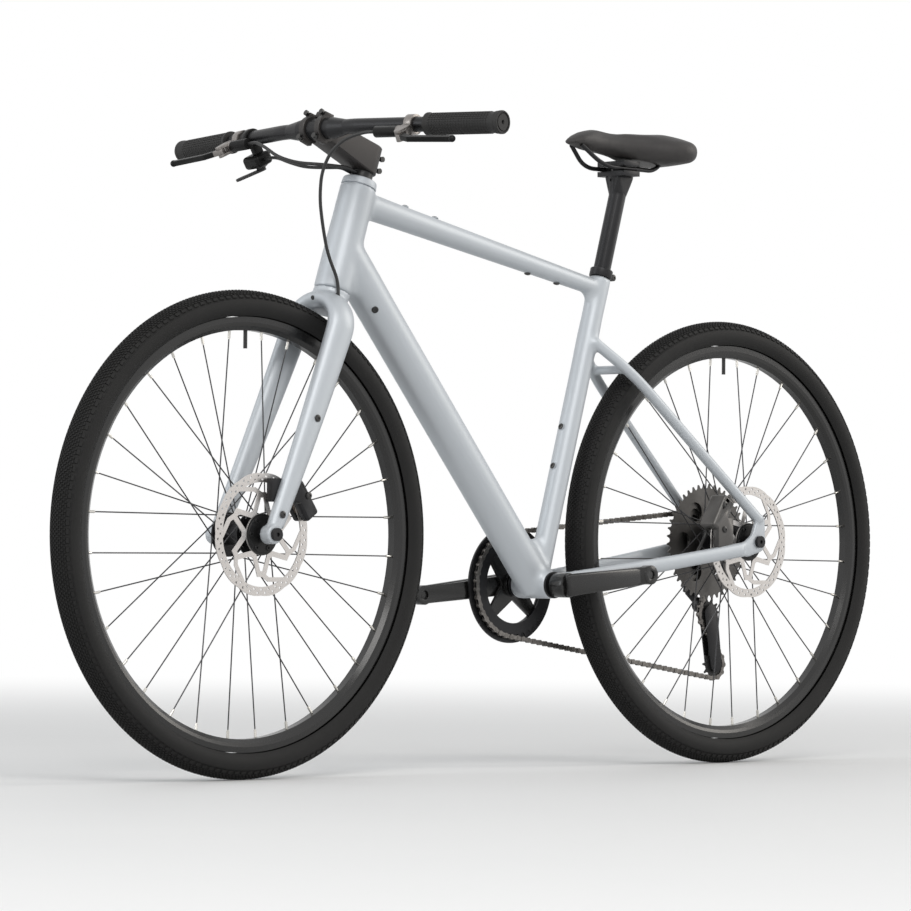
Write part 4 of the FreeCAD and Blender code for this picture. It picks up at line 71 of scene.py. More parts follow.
# Camera at the photo's place: position in metres, heading, lift and roll in radians, focal length in pixels.
cameraSpec = {
    "at": (4.8416, 4.8403, 0.3075), "yaw": 3.9360, "pitch": 0.0256, "roll": 0.0084,
    "focal": 4459.04, "pixels": 911, "farEnd": 200,
}


def makeCamera(spec):
    yaw, pitch, roll = spec["yaw"], spec["pitch"], spec["roll"]
    ahead = Vector((math.cos(yaw) * math.cos(pitch), math.sin(yaw) * math.cos(pitch), math.sin(pitch)))
    flat = ahead.cross(Vector((0, 0, 1))).normalized()
    above = flat.cross(ahead)
    right = flat * math.cos(roll) + above * math.sin(roll)
    up = above * math.cos(roll) - flat * math.sin(roll)
    data = bpy.data.cameras.new("photoCamera")
    data.lens = data.sensor_width * spec["focal"] / spec["pixels"]
    data.clip_end = spec["farEnd"]
    camera = bpy.data.objects.new("photoCamera", data)
    turn = Matrix((right, up, -ahead)).transposed().to_4x4()
    camera.matrix_world = Matrix.Translation(Vector(spec["at"])) @ turn
    scene.collection.objects.link(camera)
    scene.camera = camera


makeCamera(cameraSpec)
print("stage: camera")


# Materials: each builder takes plain values and returns a node material with its own grain.
noiseSpec = {"detail": 4.0, "fineDetail": 6.0, "rough": 0.55, "span": (0.3, 0.7)}
plainValues = {"metal": 0.0, "coat": 0.0, "coatRough": 0.1, "specular": 0.5, "depth": 0.0001}


def newMaterial(name):
    material = bpy.data.materials.new(name)
    material.use_nodes = True
    tree = material.node_tree
    shader = tree.nodes["Principled BSDF"]
    return material, tree, shader


def addNode(tree, kind, **values):
    made = tree.nodes.new(kind)
    for key, value in values.items():
        if key in made.inputs:
            made.inputs[key].default_value = value
        else:
            setattr(made, key, value)
    return made


def noiseOf(tree, source, scale, detail=noiseSpec["detail"]):
    noise = addNode(tree, "ShaderNodeTexNoise", Scale=scale, Detail=detail, Roughness=noiseSpec["rough"])
    tree.links.new(source, noise.inputs["Vector"])
    return noise.outputs["Fac"]


def fineNoise(tree, source, scale):
    return noiseOf(tree, source, scale, noiseSpec["fineDetail"])


def mixColors(tree, factor, first, second):
    mix = addNode(tree, "ShaderNodeMix", data_type="RGBA")
    mix.inputs[6].default_value = (*first, 1)
    mix.inputs[7].default_value = (*second, 1)
    tree.links.new(factor, mix.inputs["Factor"])
    return mix.outputs[2]


def joinColors(tree, factor, first, second):
    mix = addNode(tree, "ShaderNodeMix", data_type="RGBA")
    tree.links.new(first, mix.inputs[6])
    tree.links.new(second, mix.inputs[7])
    tree.links.new(factor, mix.inputs["Factor"])
    return mix.outputs[2]


def rangeOf(tree, value, low, high, start=0.0, end=1.0, smooth=False):
    span = addNode(tree, "ShaderNodeMapRange", interpolation_type="SMOOTHSTEP" if smooth else "LINEAR")
    span.inputs["From Min"].default_value = start
    span.inputs["From Max"].default_value = end
    span.inputs["To Min"].default_value = low
    span.inputs["To Max"].default_value = high
    tree.links.new(value, span.inputs["Value"])
    return span.outputs["Result"]


def addBump(tree, shader, height, strength, distance):
    bump = addNode(tree, "ShaderNodeBump", Strength=strength, Distance=distance)
    tree.links.new(height, bump.inputs["Height"])
    tree.links.new(bump.outputs["Normal"], shader.inputs["Normal"])


def objectPoint(tree):
    return addNode(tree, "ShaderNodeTexCoord").outputs["Object"]


def plainGrain(name, spec):
    # A colour that drifts over broad patches, a roughness that follows fine grain, and a light bump.
    values = {**plainValues, **spec}
    material, tree, shader = newMaterial(name)
    point = objectPoint(tree)
    patch = noiseOf(tree, point, values["patch"])
    grain = fineNoise(tree, point, values["grain"])
    tree.links.new(mixColors(tree, patch, values["dark"], values["light"]), shader.inputs["Base Color"])
    tree.links.new(rangeOf(tree, grain, *values["rough"], *noiseSpec["span"]), shader.inputs["Roughness"])
    shader.inputs["Metallic"].default_value = values["metal"]
    shader.inputs["Coat Weight"].default_value = values["coat"]
    shader.inputs["Coat Roughness"].default_value = values["coatRough"]
    shader.inputs["Specular IOR Level"].default_value = values["specular"]
    addBump(tree, shader, grain, values["bump"], values["depth"])
    return material


grains = {
    "paint": {"dark": (0.475, 0.505, 0.535), "light": (0.52, 0.55, 0.58), "rough": (0.42, 0.52),
              "metal": 0.35, "coat": 0.08, "coatRough": 0.35, "patch": 6, "grain": 2600, "bump": 0.03},
    "blackAlloy": {"dark": (0.012, 0.012, 0.013), "light": (0.022, 0.022, 0.024), "rough": (0.32, 0.46),
                   "metal": 0.5, "patch": 14, "grain": 1800, "bump": 0.08},
    "glossBlack": {"dark": (0.006, 0.006, 0.006), "light": (0.011, 0.0105, 0.010), "rough": (0.2, 0.3),
                   "metal": 0.15, "coat": 0.15, "coatRough": 0.12, "patch": 9, "grain": 900, "bump": 0.04},
    "mattePlastic": {"dark": (0.014, 0.014, 0.014), "light": (0.026, 0.026, 0.026), "rough": (0.5, 0.66),
                     "patch": 18, "grain": 1500, "bump": 0.2, "depth": 0.0002},
    "hoseRubber": {"dark": (0.012, 0.012, 0.012), "light": (0.020, 0.020, 0.020), "rough": (0.42, 0.55),
                   "patch": 20, "grain": 1200, "bump": 0.12, "depth": 0.0002},
    # Chain steel: the wide span from dark to light over link-sized patches is painted glints, some links
    # painted bright as if they caught the lamps.
    "chainSteelGlints": {"dark": (0.045, 0.042, 0.040), "light": (0.33, 0.31, 0.29), "rough": (0.26, 0.44),
                   "metal": 0.9, "patch": 150, "grain": 700, "bump": 0.15, "depth": 0.0002},
    "padStone": {"dark": (0.09, 0.07, 0.055), "light": (0.19, 0.15, 0.12), "rough": (0.7, 0.9),
                 "metal": 0.3, "patch": 300, "grain": 2500, "bump": 0.5, "depth": 0.0004},
    "gripRubber": {"dark": (0.016, 0.016, 0.016), "light": (0.028, 0.027, 0.026), "rough": (0.55, 0.7),
                   "patch": 40, "grain": 1700, "bump": 0.25, "depth": 0.0002, "specular": 0.35},
    "saddleCover": {"dark": (0.020, 0.018, 0.0175), "light": (0.034, 0.031, 0.030), "rough": (0.44, 0.58),
                    "patch": 30, "grain": 950, "bump": 0.3, "depth": 0.0003, "specular": 0.45},
    "sprocketSteel": {"dark": (0.07, 0.067, 0.064), "light": (0.15, 0.144, 0.138), "rough": (0.3, 0.46),
                      "metal": 0.85, "patch": 40, "grain": 700, "bump": 0.12, "depth": 0.0002},
    # Rear caliper: black alloy, given a grey colour that is a painted sheen standing in for the highlights on
    # its facets.
    "caliperPaintedSheen": {"dark": (0.075, 0.072, 0.069), "light": (0.14, 0.134, 0.128), "rough": (0.3, 0.42),
                    "metal": 0.7, "patch": 30, "grain": 1500, "bump": 0.08},
    "stemAlloy": {"dark": (0.030, 0.027, 0.026), "light": (0.046, 0.042, 0.040), "rough": (0.4, 0.52),
                  "metal": 0.4, "patch": 14, "grain": 1800, "bump": 0.1},
    "screwSteel": {"dark": (0.05, 0.05, 0.05), "light": (0.09, 0.088, 0.085), "rough": (0.24, 0.36),
                   "metal": 0.9, "patch": 40, "grain": 1400, "bump": 0.06},
    "railSteel": {"dark": (0.02, 0.02, 0.021), "light": (0.04, 0.04, 0.042), "rough": (0.3, 0.42),
                  "metal": 0.9, "patch": 24, "grain": 1600, "bump": 0.06},
}
looks = {name: plainGrain(name, spec) for name, spec in grains.items()}


def axleRadius(tree, axle):
    # Distance of the shaded point from a wheel's axle, in metres.
    point = objectPoint(tree)
    shift = addNode(tree, "ShaderNodeVectorMath", operation="SUBTRACT")
    tree.links.new(point, shift.inputs[0])
    shift.inputs[1].default_value = axle
    flat = addNode(tree, "ShaderNodeVectorMath", operation="MULTIPLY")
    tree.links.new(shift.outputs["Vector"], flat.inputs[0])
    flat.inputs[1].default_value = (1, 0, 1)
    size = addNode(tree, "ShaderNodeVectorMath", operation="LENGTH")
    tree.links.new(flat.outputs["Vector"], size.inputs[0])
    return point, size.outputs["Value"]


def axisReach(tree, origin, direction):
    # How far the shaded point lies along a line, in metres.
    point = objectPoint(tree)
    shift = addNode(tree, "ShaderNodeVectorMath", operation="SUBTRACT")
    tree.links.new(point, shift.inputs[0])
    shift.inputs[1].default_value = origin
    along = addNode(tree, "ShaderNodeVectorMath", operation="DOT_PRODUCT")
    tree.links.new(shift.outputs["Vector"], along.inputs[0])
    along.inputs[1].default_value = direction
    return point, along.outputs["Value"]


def sideReach(tree):
    # How far the shaded point lies from the bike's middle plane.
    point = objectPoint(tree)
    parts = addNode(tree, "ShaderNodeSeparateXYZ")
    tree.links.new(point, parts.inputs["Vector"])
    side = addNode(tree, "ShaderNodeMath", operation="ABSOLUTE")
    tree.links.new(parts.outputs["Y"], side.inputs[0])
    return point, side.outputs[0]


zoneSpec = {"blur": 0.0006, "grain": 900, "bump": 0.1, "depth": 0.0001, "steel": 0.9}


def twoZone(name, measure, edge, inside, outside, metal=zoneSpec["steel"]):
    # One finish up to a distance and another beyond it.
    material, tree, shader = newMaterial(name)
    point, reach = measure(tree)
    zone = rangeOf(tree, reach, 0, 1, edge - zoneSpec["blur"], edge + zoneSpec["blur"])
    grain = fineNoise(tree, point, zoneSpec["grain"])
    inner = mixColors(tree, grain, inside["dark"], inside["light"])
    outer = mixColors(tree, grain, outside["dark"], outside["light"])
    tree.links.new(joinColors(tree, zone, inner, outer), shader.inputs["Base Color"])
    rough = addNode(tree, "ShaderNodeMix", data_type="FLOAT")
    tree.links.new(zone, rough.inputs["Factor"])
    for side, socket in ((inside, 2), (outside, 3)):
        tree.links.new(rangeOf(tree, grain, *side["rough"], *noiseSpec["span"]), rough.inputs[socket])
    tree.links.new(rough.outputs[0], shader.inputs["Roughness"])
    shader.inputs["Metallic"].default_value = metal
    addBump(tree, shader, grain, zoneSpec["bump"], zoneSpec["depth"])
    return material


def rubberOf(name, axle, spec):
    # Rubber with fine moulding rings about the axle.
    material, tree, shader = newMaterial(name)
    point, radius = axleRadius(tree, axle)
    patch = noiseOf(tree, point, spec["patch"])
    grain = fineNoise(tree, point, spec["grain"])
    tree.links.new(mixColors(tree, patch, spec["dark"], spec["light"]), shader.inputs["Base Color"])
    tree.links.new(rangeOf(tree, grain, *spec["rough"], *noiseSpec["span"]), shader.inputs["Roughness"])
    rings = addNode(tree, "ShaderNodeMath", operation="SINE")
    turns = addNode(tree, "ShaderNodeMath", operation="MULTIPLY")
    turns.inputs[1].default_value = spec["ringTurns"]
    tree.links.new(radius, turns.inputs[0])
    tree.links.new(turns.outputs[0], rings.inputs[0])
    total = addNode(tree, "ShaderNodeMath", operation="MULTIPLY_ADD")
    total.inputs[1].default_value = spec["ringShare"]
    tree.links.new(rings.outputs[0], total.inputs[0])
    tree.links.new(grain, total.inputs[2])
    addBump(tree, shader, total.outputs[0], spec["bump"], spec["depth"])
    shader.inputs["Specular IOR Level"].default_value = spec["specular"]
    return material


frontAxle = tuple((a + b) / 2 for a, b in zip(*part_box("front_rim")))
rearAxle = tuple((a + b) / 2 for a, b in zip(*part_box("rear_rim")))
steelWire = {"dark": (0.05, 0.05, 0.052), "light": (0.09, 0.09, 0.094), "rough": (0.25, 0.4)}
silverNipple = {"dark": (0.60, 0.58, 0.54), "light": (0.75, 0.73, 0.69), "rough": (0.15, 0.28)}
rotorCarrier = {"dark": (0.02, 0.02, 0.02), "light": (0.035, 0.035, 0.035), "rough": (0.4, 0.55)}
rotorBand = {"dark": (0.50, 0.475, 0.455), "light": (0.68, 0.65, 0.625), "rough": (0.24, 0.38)}
tyreRubber = {
    "dark": (0.009, 0.009, 0.009), "light": (0.016, 0.0155, 0.015), "rough": (0.55, 0.7), "specular": 0.22,
    "patch": 22, "grain": 1100, "ringTurns": 5200, "ringShare": 0.25, "bump": 0.35, "depth": 0.0004,
}
steerFoot = Vector((0.347387, 0, 0.71828))  # The steering axis, from the fork's crown up.
steerUp = Vector((-0.31233, 0, 0.94997))
barMiddle = Vector((0.377996, 0, 0.956876))
zoneEdges = {"headset": 0.1775, "lever": 0.203, "perch": 0.1805, "nipple": 0.2848, "carrier": 0.0305}
warmSilver = {"dark": (0.21, 0.195, 0.185), "light": (0.30, 0.28, 0.265), "rough": (0.3, 0.42)}
deepBlack = {"dark": (0.012, 0.012, 0.012), "light": (0.020, 0.020, 0.020), "rough": (0.34, 0.46)}
looks["headsetZone"] = twoZone("headsetZone", lambda tree: axisReach(tree, steerFoot, steerUp),
                               zoneEdges["headset"], grains["paint"], deepBlack, grains["paint"]["metal"])
looks["leverZone"] = twoZone("leverZone", sideReach, zoneEdges["lever"], warmSilver, deepBlack)
looks["perchZone"] = twoZone("perchZone", sideReach, zoneEdges["perch"], deepBlack, warmSilver)
for end, axle in (("front", frontAxle), ("rear", rearAxle)):
    fromAxle = lambda tree, spot=axle: axleRadius(tree, spot)
    looks[end + "Spokes"] = twoZone(end + "Spokes", fromAxle, zoneEdges["nipple"], steelWire, silverNipple)
    looks[end + "Rotor"] = twoZone(end + "Rotor", fromAxle, zoneEdges["carrier"], rotorCarrier, rotorBand)
    looks[end + "Rubber"] = rubberOf(end + "Rubber", axle, tyreRubber)

finishes = {
    "paint": ["frame_bosses"],
    "blackAlloy": ["seat_clamp", "stem", "stem_faceplate", "handlebar", "seatpost", "front_caliper",
                   "derailleur_mount", "derailleur_outer_link", "derailleur_inner_link", "derailleur_knuckle",
                   "derailleur_cage", "front_hub", "rear_hub", "front_axle", "rear_axle", "frame_bearings",
                   "chainring"],
    "glossBlack": ["front_rim", "rear_rim", "crank_arm_left", "crank_arm_right"],
    "mattePlastic": ["shift_paddle_main", "shift_paddle_release", "guide_pulley", "tension_pulley", "grips"],
    "hoseRubber": ["control_cables", "rear_lines"],
    "screwSteel": ["stem_bolts", "crank_spindle"], "caliperPaintedSheen": ["rear_caliper"],
    "headsetZone": ["headset_cover"],
    "leverZone": ["brake_lever_left", "brake_lever_right"], "perchZone": ["control_bodies"],
    "chainSteelGlints": ["chain"], "sprocketSteel": ["cassette"],
    "padStone": ["front_pad_outer", "front_pad_inner", "rear_pad_outer", "rear_pad_inner"],
    "railSteel": ["saddle_rails"],
    "frontSpokes": ["front_spokes"], "rearSpokes": ["rear_spokes"],
    "frontRotor": ["front_rotor"], "rearRotor": ["rear_rotor"],
    "frontRubber": ["front_tyre"], "rearRubber": ["rear_tyre"],
}


def dress(obj, material):
    obj.data.materials.clear()
    obj.data.materials.append(material)


for look, names in finishes.items():
    for name in names:
        dress(nodes[name], looks[look])
print("stage: materials")


# Mesh helpers
mergeGap = 1e-6
smoothFactor = 0.5
crispAngle = 35  # Shading angles in degrees, for machined, broken and swelled forms.
plainAngle = 40
softAngle = 60


def pickOnly(*objs):
    bpy.ops.object.select_all(action="DESELECT")
    for obj in objs:
        obj.select_set(True)
    bpy.context.view_layer.objects.active = objs[0]


def copyNode(name):
    obj = nodes[name].copy()
    obj.data = nodes[name].data.copy()
    obj.parent = None
    for key in list(obj.keys()):
        del obj[key]
    scene.collection.objects.link(obj)
    pickOnly(obj)
    bpy.ops.object.mode_set(mode="EDIT")
    bpy.ops.mesh.select_all(action="SELECT")
    bpy.ops.mesh.remove_doubles(threshold=mergeGap)
    bpy.ops.object.mode_set(mode="OBJECT")
    return obj


def applyModifier(obj, kind, **values):
    pickOnly(obj)
    modifier = obj.modifiers.new(kind, kind)
    for key, value in values.items():
        setattr(modifier, key, value)
    bpy.ops.object.modifier_apply(modifier=modifier.name)


def joinAs(name, objs):
    pickOnly(*objs)
    bpy.ops.object.join()
    obj = bpy.context.view_layer.objects.active
    obj.name = name
    obj.data.name = name
    return obj


def selectPoints(obj, test):
    # Selects the mesh points that pass the test, ready for edit mode.
    for part in (obj.data.polygons, obj.data.edges):
        part.foreach_set("select", [False] * len(part))
    for vertex in obj.data.vertices:
        vertex.select = test(vertex.co)


def fillTube(obj):
    # Closes a hollow tube into its outer form.
    pickOnly(obj)
    bpy.ops.object.mode_set(mode="EDIT")
    bpy.ops.mesh.select_all(action="SELECT")
    bpy.ops.mesh.convex_hull()
    bpy.ops.object.mode_set(mode="OBJECT")


def smoothShade(obj, degrees=plainAngle):
    pickOnly(obj)
    bpy.ops.object.shade_smooth_by_angle(angle=math.radians(degrees))


def settle(obj):
    # The object's place goes into its mesh.
    pickOnly(obj)
    bpy.ops.object.transform_apply(location=True, rotation=True, scale=True)


def placeAlong(obj, origin, direction):
    obj.matrix_world = Matrix.Translation(origin) @ direction.to_track_quat("Z", "Y").to_matrix().to_4x4()
    settle(obj)


def turnedPiece(name, profile, sides=64):
    # A ring drawn out along Z through each (radius, height) of the profile, closed at both ends.
    bpy.ops.object.select_all(action="DESELECT")
    radius, height = profile[0]
    bpy.ops.mesh.primitive_circle_add(vertices=sides, radius=radius, location=(0, 0, height),
                                      fill_type="NGON")
    obj = bpy.context.active_object
    obj.name = name
    settle(obj)
    bpy.ops.object.mode_set(mode="EDIT")
    bpy.ops.mesh.select_all(action="SELECT")
    for nextRadius, nextHeight in profile[1:]:
        bpy.ops.mesh.extrude_region_move(TRANSFORM_OT_translate={"value": (0, 0, nextHeight - height)})
        share = nextRadius / radius
        bpy.ops.transform.resize(value=(share, share, 1), center_override=(0, 0, nextHeight))
        radius, height = nextRadius, nextHeight
    bpy.ops.mesh.select_all(action="SELECT")
    bpy.ops.mesh.normals_make_consistent(inside=False)
    bpy.ops.object.mode_set(mode="OBJECT")
    return obj


def taperedBlock(name, place, size, taper):
    # A block whose outer face is drawn in; place turns its local Z outward.
    bpy.ops.object.select_all(action="DESELECT")
    bpy.ops.mesh.primitive_cube_add(size=1)
    obj = bpy.context.active_object
    obj.name = name
    selectPoints(obj, lambda point: point.z > 0)
    bpy.ops.object.mode_set(mode="EDIT")
    bpy.ops.transform.resize(value=(taper, taper, 1), center_override=(0, 0, 0.5))
    bpy.ops.object.mode_set(mode="OBJECT")
    obj.matrix_world = place @ Matrix.Diagonal((*size, 1))
    settle(obj)
    return obj


def repeatAbout(obj, turn, count):
    # Copies of a piece, each one turned on from the one before.
    guide = bpy.data.objects.new("turnGuide", None)
    scene.collection.objects.link(guide)
    guide.matrix_world = turn
    bpy.context.view_layer.update()
    applyModifier(obj, "ARRAY", count=count, use_relative_offset=False, use_object_offset=True,
                  offset_object=guide)
    bpy.data.objects.remove(guide)


def facing(origin, out, across):
    # A place whose Z points out and whose X points across.
    along = out.cross(across)
    turn = Matrix((across, along, out)).transposed().to_4x4()
    return Matrix.Translation(origin) @ turn


def finishPiece(obj, look, body, slotName, *stands):
    dress(obj, looks[look])
    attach(obj, body)
    if stands:
        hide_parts(*stands)
    print("stage:", obj.name, len(obj.data.polygons), "faces")


# Frame and fork: the tubes become one skin with blended welds.
frameSkin = {
    "filled": ["head_tube", "top_tube", "down_tube", "seat_tube", "bottom_bracket_shell"],
    "solid": ["chain_stays", "seat_stays", "rear_dropouts"],
    "voxel": 0.0024, "fillet": 0.016, "sunk": 0.0008, "weldPasses": 26, "weldSlope": 1.6, "regain": 0.0008,
    "skinPasses": 2,
}
forkSkin = {
    "filled": [], "solid": ["fork_crown", "fork_blades"],
    "voxel": 0.0022, "weldPasses": 14, "weldSlope": 1.6, "regain": 0.0004, "skinPasses": 2,
}


def markNear(skin, welds, slope):
    # Weights that are full round each weld and fade to none at its reach.
    skin.vertex_groups.clear()
    near = skin.vertex_groups.new(name="welds")
    for vertex in skin.data.vertices:
        gap = min((vertex.co - spot).length / reach for spot, reach in welds)
        if gap < 1:
            near.add([vertex.index], min(1.0, (1 - gap) * slope), "REPLACE")


def filletCore(tubes, spec):
    # The tubes swelled until their inner corners merge, then shrunk back, which leaves fillets there.
    doubles = []
    for tube in tubes:
        doubles.append(tube.copy())
        doubles[-1].data = tube.data.copy()
        scene.collection.objects.link(doubles[-1])
    core = joinAs("filletCore", doubles)
    applyModifier(core, "REMESH", mode="VOXEL", voxel_size=spec["voxel"])
    for grow in (spec["fillet"], -spec["fillet"] - spec["sunk"]):
        applyModifier(core, "DISPLACE", strength=grow, mid_level=0)
        applyModifier(core, "REMESH", mode="VOXEL", voxel_size=spec["voxel"])
    return core


def weldSkin(name, spec, welds, body):
    copies = []
    for node in spec["filled"]:
        copies.append(copyNode(node))
        fillTube(copies[-1])
    if copies:
        copies.append(filletCore(copies, spec))
    copies += [copyNode(node) for node in spec["solid"]]
    skin = joinAs(name, copies)
    applyModifier(skin, "REMESH", mode="VOXEL", voxel_size=spec["voxel"])
    markNear(skin, welds, spec["weldSlope"])
    applyModifier(skin, "SMOOTH", factor=smoothFactor, iterations=spec["weldPasses"], vertex_group="welds")
    applyModifier(skin, "DISPLACE", strength=spec["regain"], mid_level=0, vertex_group="welds")
    applyModifier(skin, "SMOOTH", factor=smoothFactor, iterations=spec["skinPasses"])
    skin.vertex_groups.clear()
    smoothShade(skin, softAngle)
    finishPiece(skin, "paint", body, "frame_paint", *spec["filled"], *spec["solid"])
    return skin


frameWelds = [
    (Vector((0.285, 0, 0.853)), 0.08), (Vector((0.305, 0, 0.775)), 0.1), (Vector((-0.222, 0, 0.752)), 0.04),
    (Vector((-0.089, 0, 0.30)), 0.075), (Vector((-0.2, 0, 0.668)), 0.04),
    (Vector((-0.5, 0.075, 0.35)), 0.02), (Vector((-0.5, -0.075, 0.35)), 0.02),
]
bikeFrame = weldSkin("frameSkin", frameSkin, frameWelds, "frame")
forkWelds = [(Vector((0.37, 0.05, 0.66)), 0.05), (Vector((0.37, -0.05, 0.66)), 0.05),
             (Vector((0.36, 0, 0.70)), 0.035)]
bikeFork = weldSkin("forkSkin", forkSkin, forkWelds, "fork_and_bar")


# Tyres: a carcass with rows of small knobs over the crown and a row of shoulder blocks on each side.
tyreSpec = {
    "radius": 0.356, "tube": 0.0225, "lip": 0.3166, "groove": 0.0015, "shoulderLean": 66, "wall": 0.0022,
    "sections": 72, "steps": 180, "segments": 172, "sunk": 0.0008, "mergeGap": 1e-5,
    "knobLeans": (0, 9, 18, 27, 36, 45), "knobSize": (0.0048, 0.0029), "knobTaper": 0.66,
    "knobsPerSegment": 2, "blockLean": 56, "blockSize": (0.0084, 0.0052), "blockTaper": 0.84,
}


def moldTyre(name, axle, body, node, look):
    spec = tyreSpec
    hubPoint = Vector(axle)
    crown = hubPoint + Vector((0, 0, spec["radius"] - spec["tube"]))
    bpy.ops.object.select_all(action="DESELECT")
    bpy.ops.mesh.primitive_circle_add(vertices=spec["sections"], radius=spec["tube"], location=crown,
                                      rotation=(0, math.pi / 2, 0))
    tyre = bpy.context.active_object
    tyre.name = name
    settle(tyre)
    for vertex in tyre.data.vertices:
        out = vertex.co - crown
        lean = abs(math.degrees(math.atan2(out.y, out.z)))
        if lean < spec["shoulderLean"]:
            vertex.co = crown + out * (1 - spec["groove"] / spec["tube"])
    selectPoints(tyre, lambda point: point.z - hubPoint.z < spec["lip"])
    bpy.ops.object.mode_set(mode="EDIT")
    bpy.ops.mesh.delete(type="VERT")
    bpy.ops.mesh.select_all(action="SELECT")
    bpy.ops.mesh.spin(steps=spec["steps"], angle=2 * math.pi, center=hubPoint, axis=(0, 1, 0))
    bpy.ops.mesh.select_all(action="SELECT")
    bpy.ops.mesh.remove_doubles(threshold=spec["mergeGap"])
    bpy.ops.mesh.normals_make_consistent(inside=False)
    bpy.ops.object.mode_set(mode="OBJECT")
    applyModifier(tyre, "SOLIDIFY", thickness=spec["wall"], offset=-1)
    smoothShade(tyre, crispAngle)

    pitch = 2 * math.pi / spec["segments"]
    height = spec["groove"] + spec["sunk"]

    def blockPlace(lean, turn):
        tilt = Matrix.Rotation(-math.radians(lean), 4, "X")
        out = tilt @ Vector((0, 0, spec["tube"] - height / 2))
        about = Matrix.Translation(hubPoint) @ Matrix.Rotation(turn, 4, "Y")
        return about @ Matrix.Translation(crown - hubPoint + out) @ tilt

    blocks = []
    for side in (1, -1):
        place = blockPlace(spec["blockLean"] * side, 0)
        blocks.append(taperedBlock("shoulderBlock", place, (*spec["blockSize"], height), spec["blockTaper"]))
        for row, lean in enumerate(spec["knobLeans"]):
            if lean == 0 and side < 0:
                continue
            for step in range(spec["knobsPerSegment"]):
                turn = pitch * (step + 0.5 * (row % 2)) / spec["knobsPerSegment"]
                size = (*spec["knobSize"], height)
                blocks.append(taperedBlock("treadKnob", blockPlace(lean * side, turn), size,
                                           spec["knobTaper"]))
    tread = joinAs(name + "Tread", blocks)
    about = Matrix.Translation(hubPoint) @ Matrix.Rotation(pitch, 4, "Y") @ Matrix.Translation(-hubPoint)
    repeatAbout(tread, about, spec["segments"])
    tyre = joinAs(name, [tyre, tread])
    finishPiece(tyre, look, body, "tyre_rubber", node)


moldTyre("frontTyreMold", frontAxle, "front_wheel", "front_tyre", "frontRubber")
moldTyre("rearTyreMold", rearAxle, "rear_wheel", "rear_tyre", "rearRubber")

# Grips: a turned sleeve with a flange and an end plug, covered with small raised pads.
gripSpec = {
    "kneeSide": 0.076, "tip": (-0.038, 0.342, -0.009),
    "profile": [(0.0118, -0.13), (0.0164, -0.13), (0.0171, -0.1292), (0.0171, -0.1262), (0.0160, -0.1245),
                (0.0155, -0.122), (0.0155, -0.008), (0.0160, -0.006), (0.0165, -0.004), (0.0166, -0.0012),
                (0.0162, -0.0006), (0.0169, 0.0), (0.0171, 0.0012), (0.0171, 0.0048), (0.0164, 0.0060),
                (0.0146, 0.0060), (0.0142, 0.0042), (0.0122, 0.0042), (0.0118, 0.0056), (0.0034, 0.0056),
                (0.0028, 0.0048), (0.0025, 0.0020), (0.0004, 0.0020)],
    "sleeveRadius": 0.0155, "padRows": 26, "padBands": 22, "padStart": -0.1185, "padPitch": 0.0049,
    "padSize": (0.0025, 0.0038, 0.0017), "padTaper": 0.7,
}


def turnGrip(side):
    spec = gripSpec
    grip = turnedPiece("grip", spec["profile"])
    smoothShade(grip, crispAngle)
    foot = Matrix.Translation((0, -spec["sleeveRadius"], spec["padStart"]))
    pad = taperedBlock("gripPad", foot @ Matrix.Rotation(math.pi / 2, 4, "X"), spec["padSize"],
                       spec["padTaper"])
    applyModifier(pad, "ARRAY", count=spec["padBands"], use_relative_offset=False, use_constant_offset=True,
                  constant_offset_displace=(0, 0, spec["padPitch"]))
    repeatAbout(pad, Matrix.Rotation(2 * math.pi / spec["padRows"], 4, "Z"), spec["padRows"])
    grip = joinAs("grip", [grip, pad])
    tip = barMiddle + Vector(spec["tip"]) * Vector((1, side, 1))
    knee = barMiddle + Vector((0, spec["kneeSide"] * side, 0))
    placeAlong(grip, tip, (tip - knee).normalized())
    return grip


gripPair = joinAs("gripPair", [turnGrip(1), turnGrip(-1)])
finishPiece(gripPair, "gripRubber", "fork_and_bar", "grip_rubber", "grips")

# Machined and moulded pieces: the CAD forms with their edges broken.
softEdges = {
    0.0011: ["front_caliper", "rear_caliper", "crank_arm_left", "crank_arm_right"],
    0.0007: ["control_bodies", "brake_lever_left", "brake_lever_right", "seatpost", "shift_paddle_main",
             "shift_paddle_release", "derailleur_mount", "derailleur_outer_link", "derailleur_inner_link",
             "derailleur_knuckle", "derailleur_cage"],
}
edgeSpec = {"flat": 1, "sharp": 35, "segments": 2}  # Angles in degrees.
softPieces = {}


def breakEdges(node, width):
    obj = copyNode(node)
    obj.name = obj.data.name = node.replace("_", " ").title().replace(" ", "") + "Soft"
    pickOnly(obj)
    bpy.ops.object.mode_set(mode="EDIT")
    bpy.ops.mesh.select_all(action="SELECT")
    bpy.ops.mesh.dissolve_limited(angle_limit=math.radians(edgeSpec["flat"]))
    bpy.ops.object.mode_set(mode="OBJECT")
    applyModifier(obj, "BEVEL", width=width, segments=edgeSpec["segments"], limit_method="ANGLE",
                  angle_limit=math.radians(edgeSpec["sharp"]))
    smoothShade(obj)
    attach(obj, body_of(nodes[node])[0])
    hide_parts(node)
    softPieces[node] = obj


for width, names in softEdges.items():
    for node in names:
        breakEdges(node, width)
print("stage: soft edges")

# Headset: a painted cover that carries on the head tube's line, and a black spacer above it.
headsetProfile = [(0.0180, 0.1664), (0.0264, 0.1664), (0.0268, 0.1669), (0.0267, 0.1690), (0.0260, 0.1748),
                  (0.0254, 0.1766), (0.0242, 0.1775), (0.0172, 0.1777), (0.0170, 0.1781), (0.0170, 0.1893),
                  (0.0165, 0.1898)]
headsetSides = 96
headset = turnedPiece("headsetStack", headsetProfile, headsetSides)
placeAlong(headset, steerFoot, steerUp)
smoothShade(headset, crispAngle)
finishPiece(headset, "headsetZone", "fork_and_bar", "frame_paint", "headset_cover")

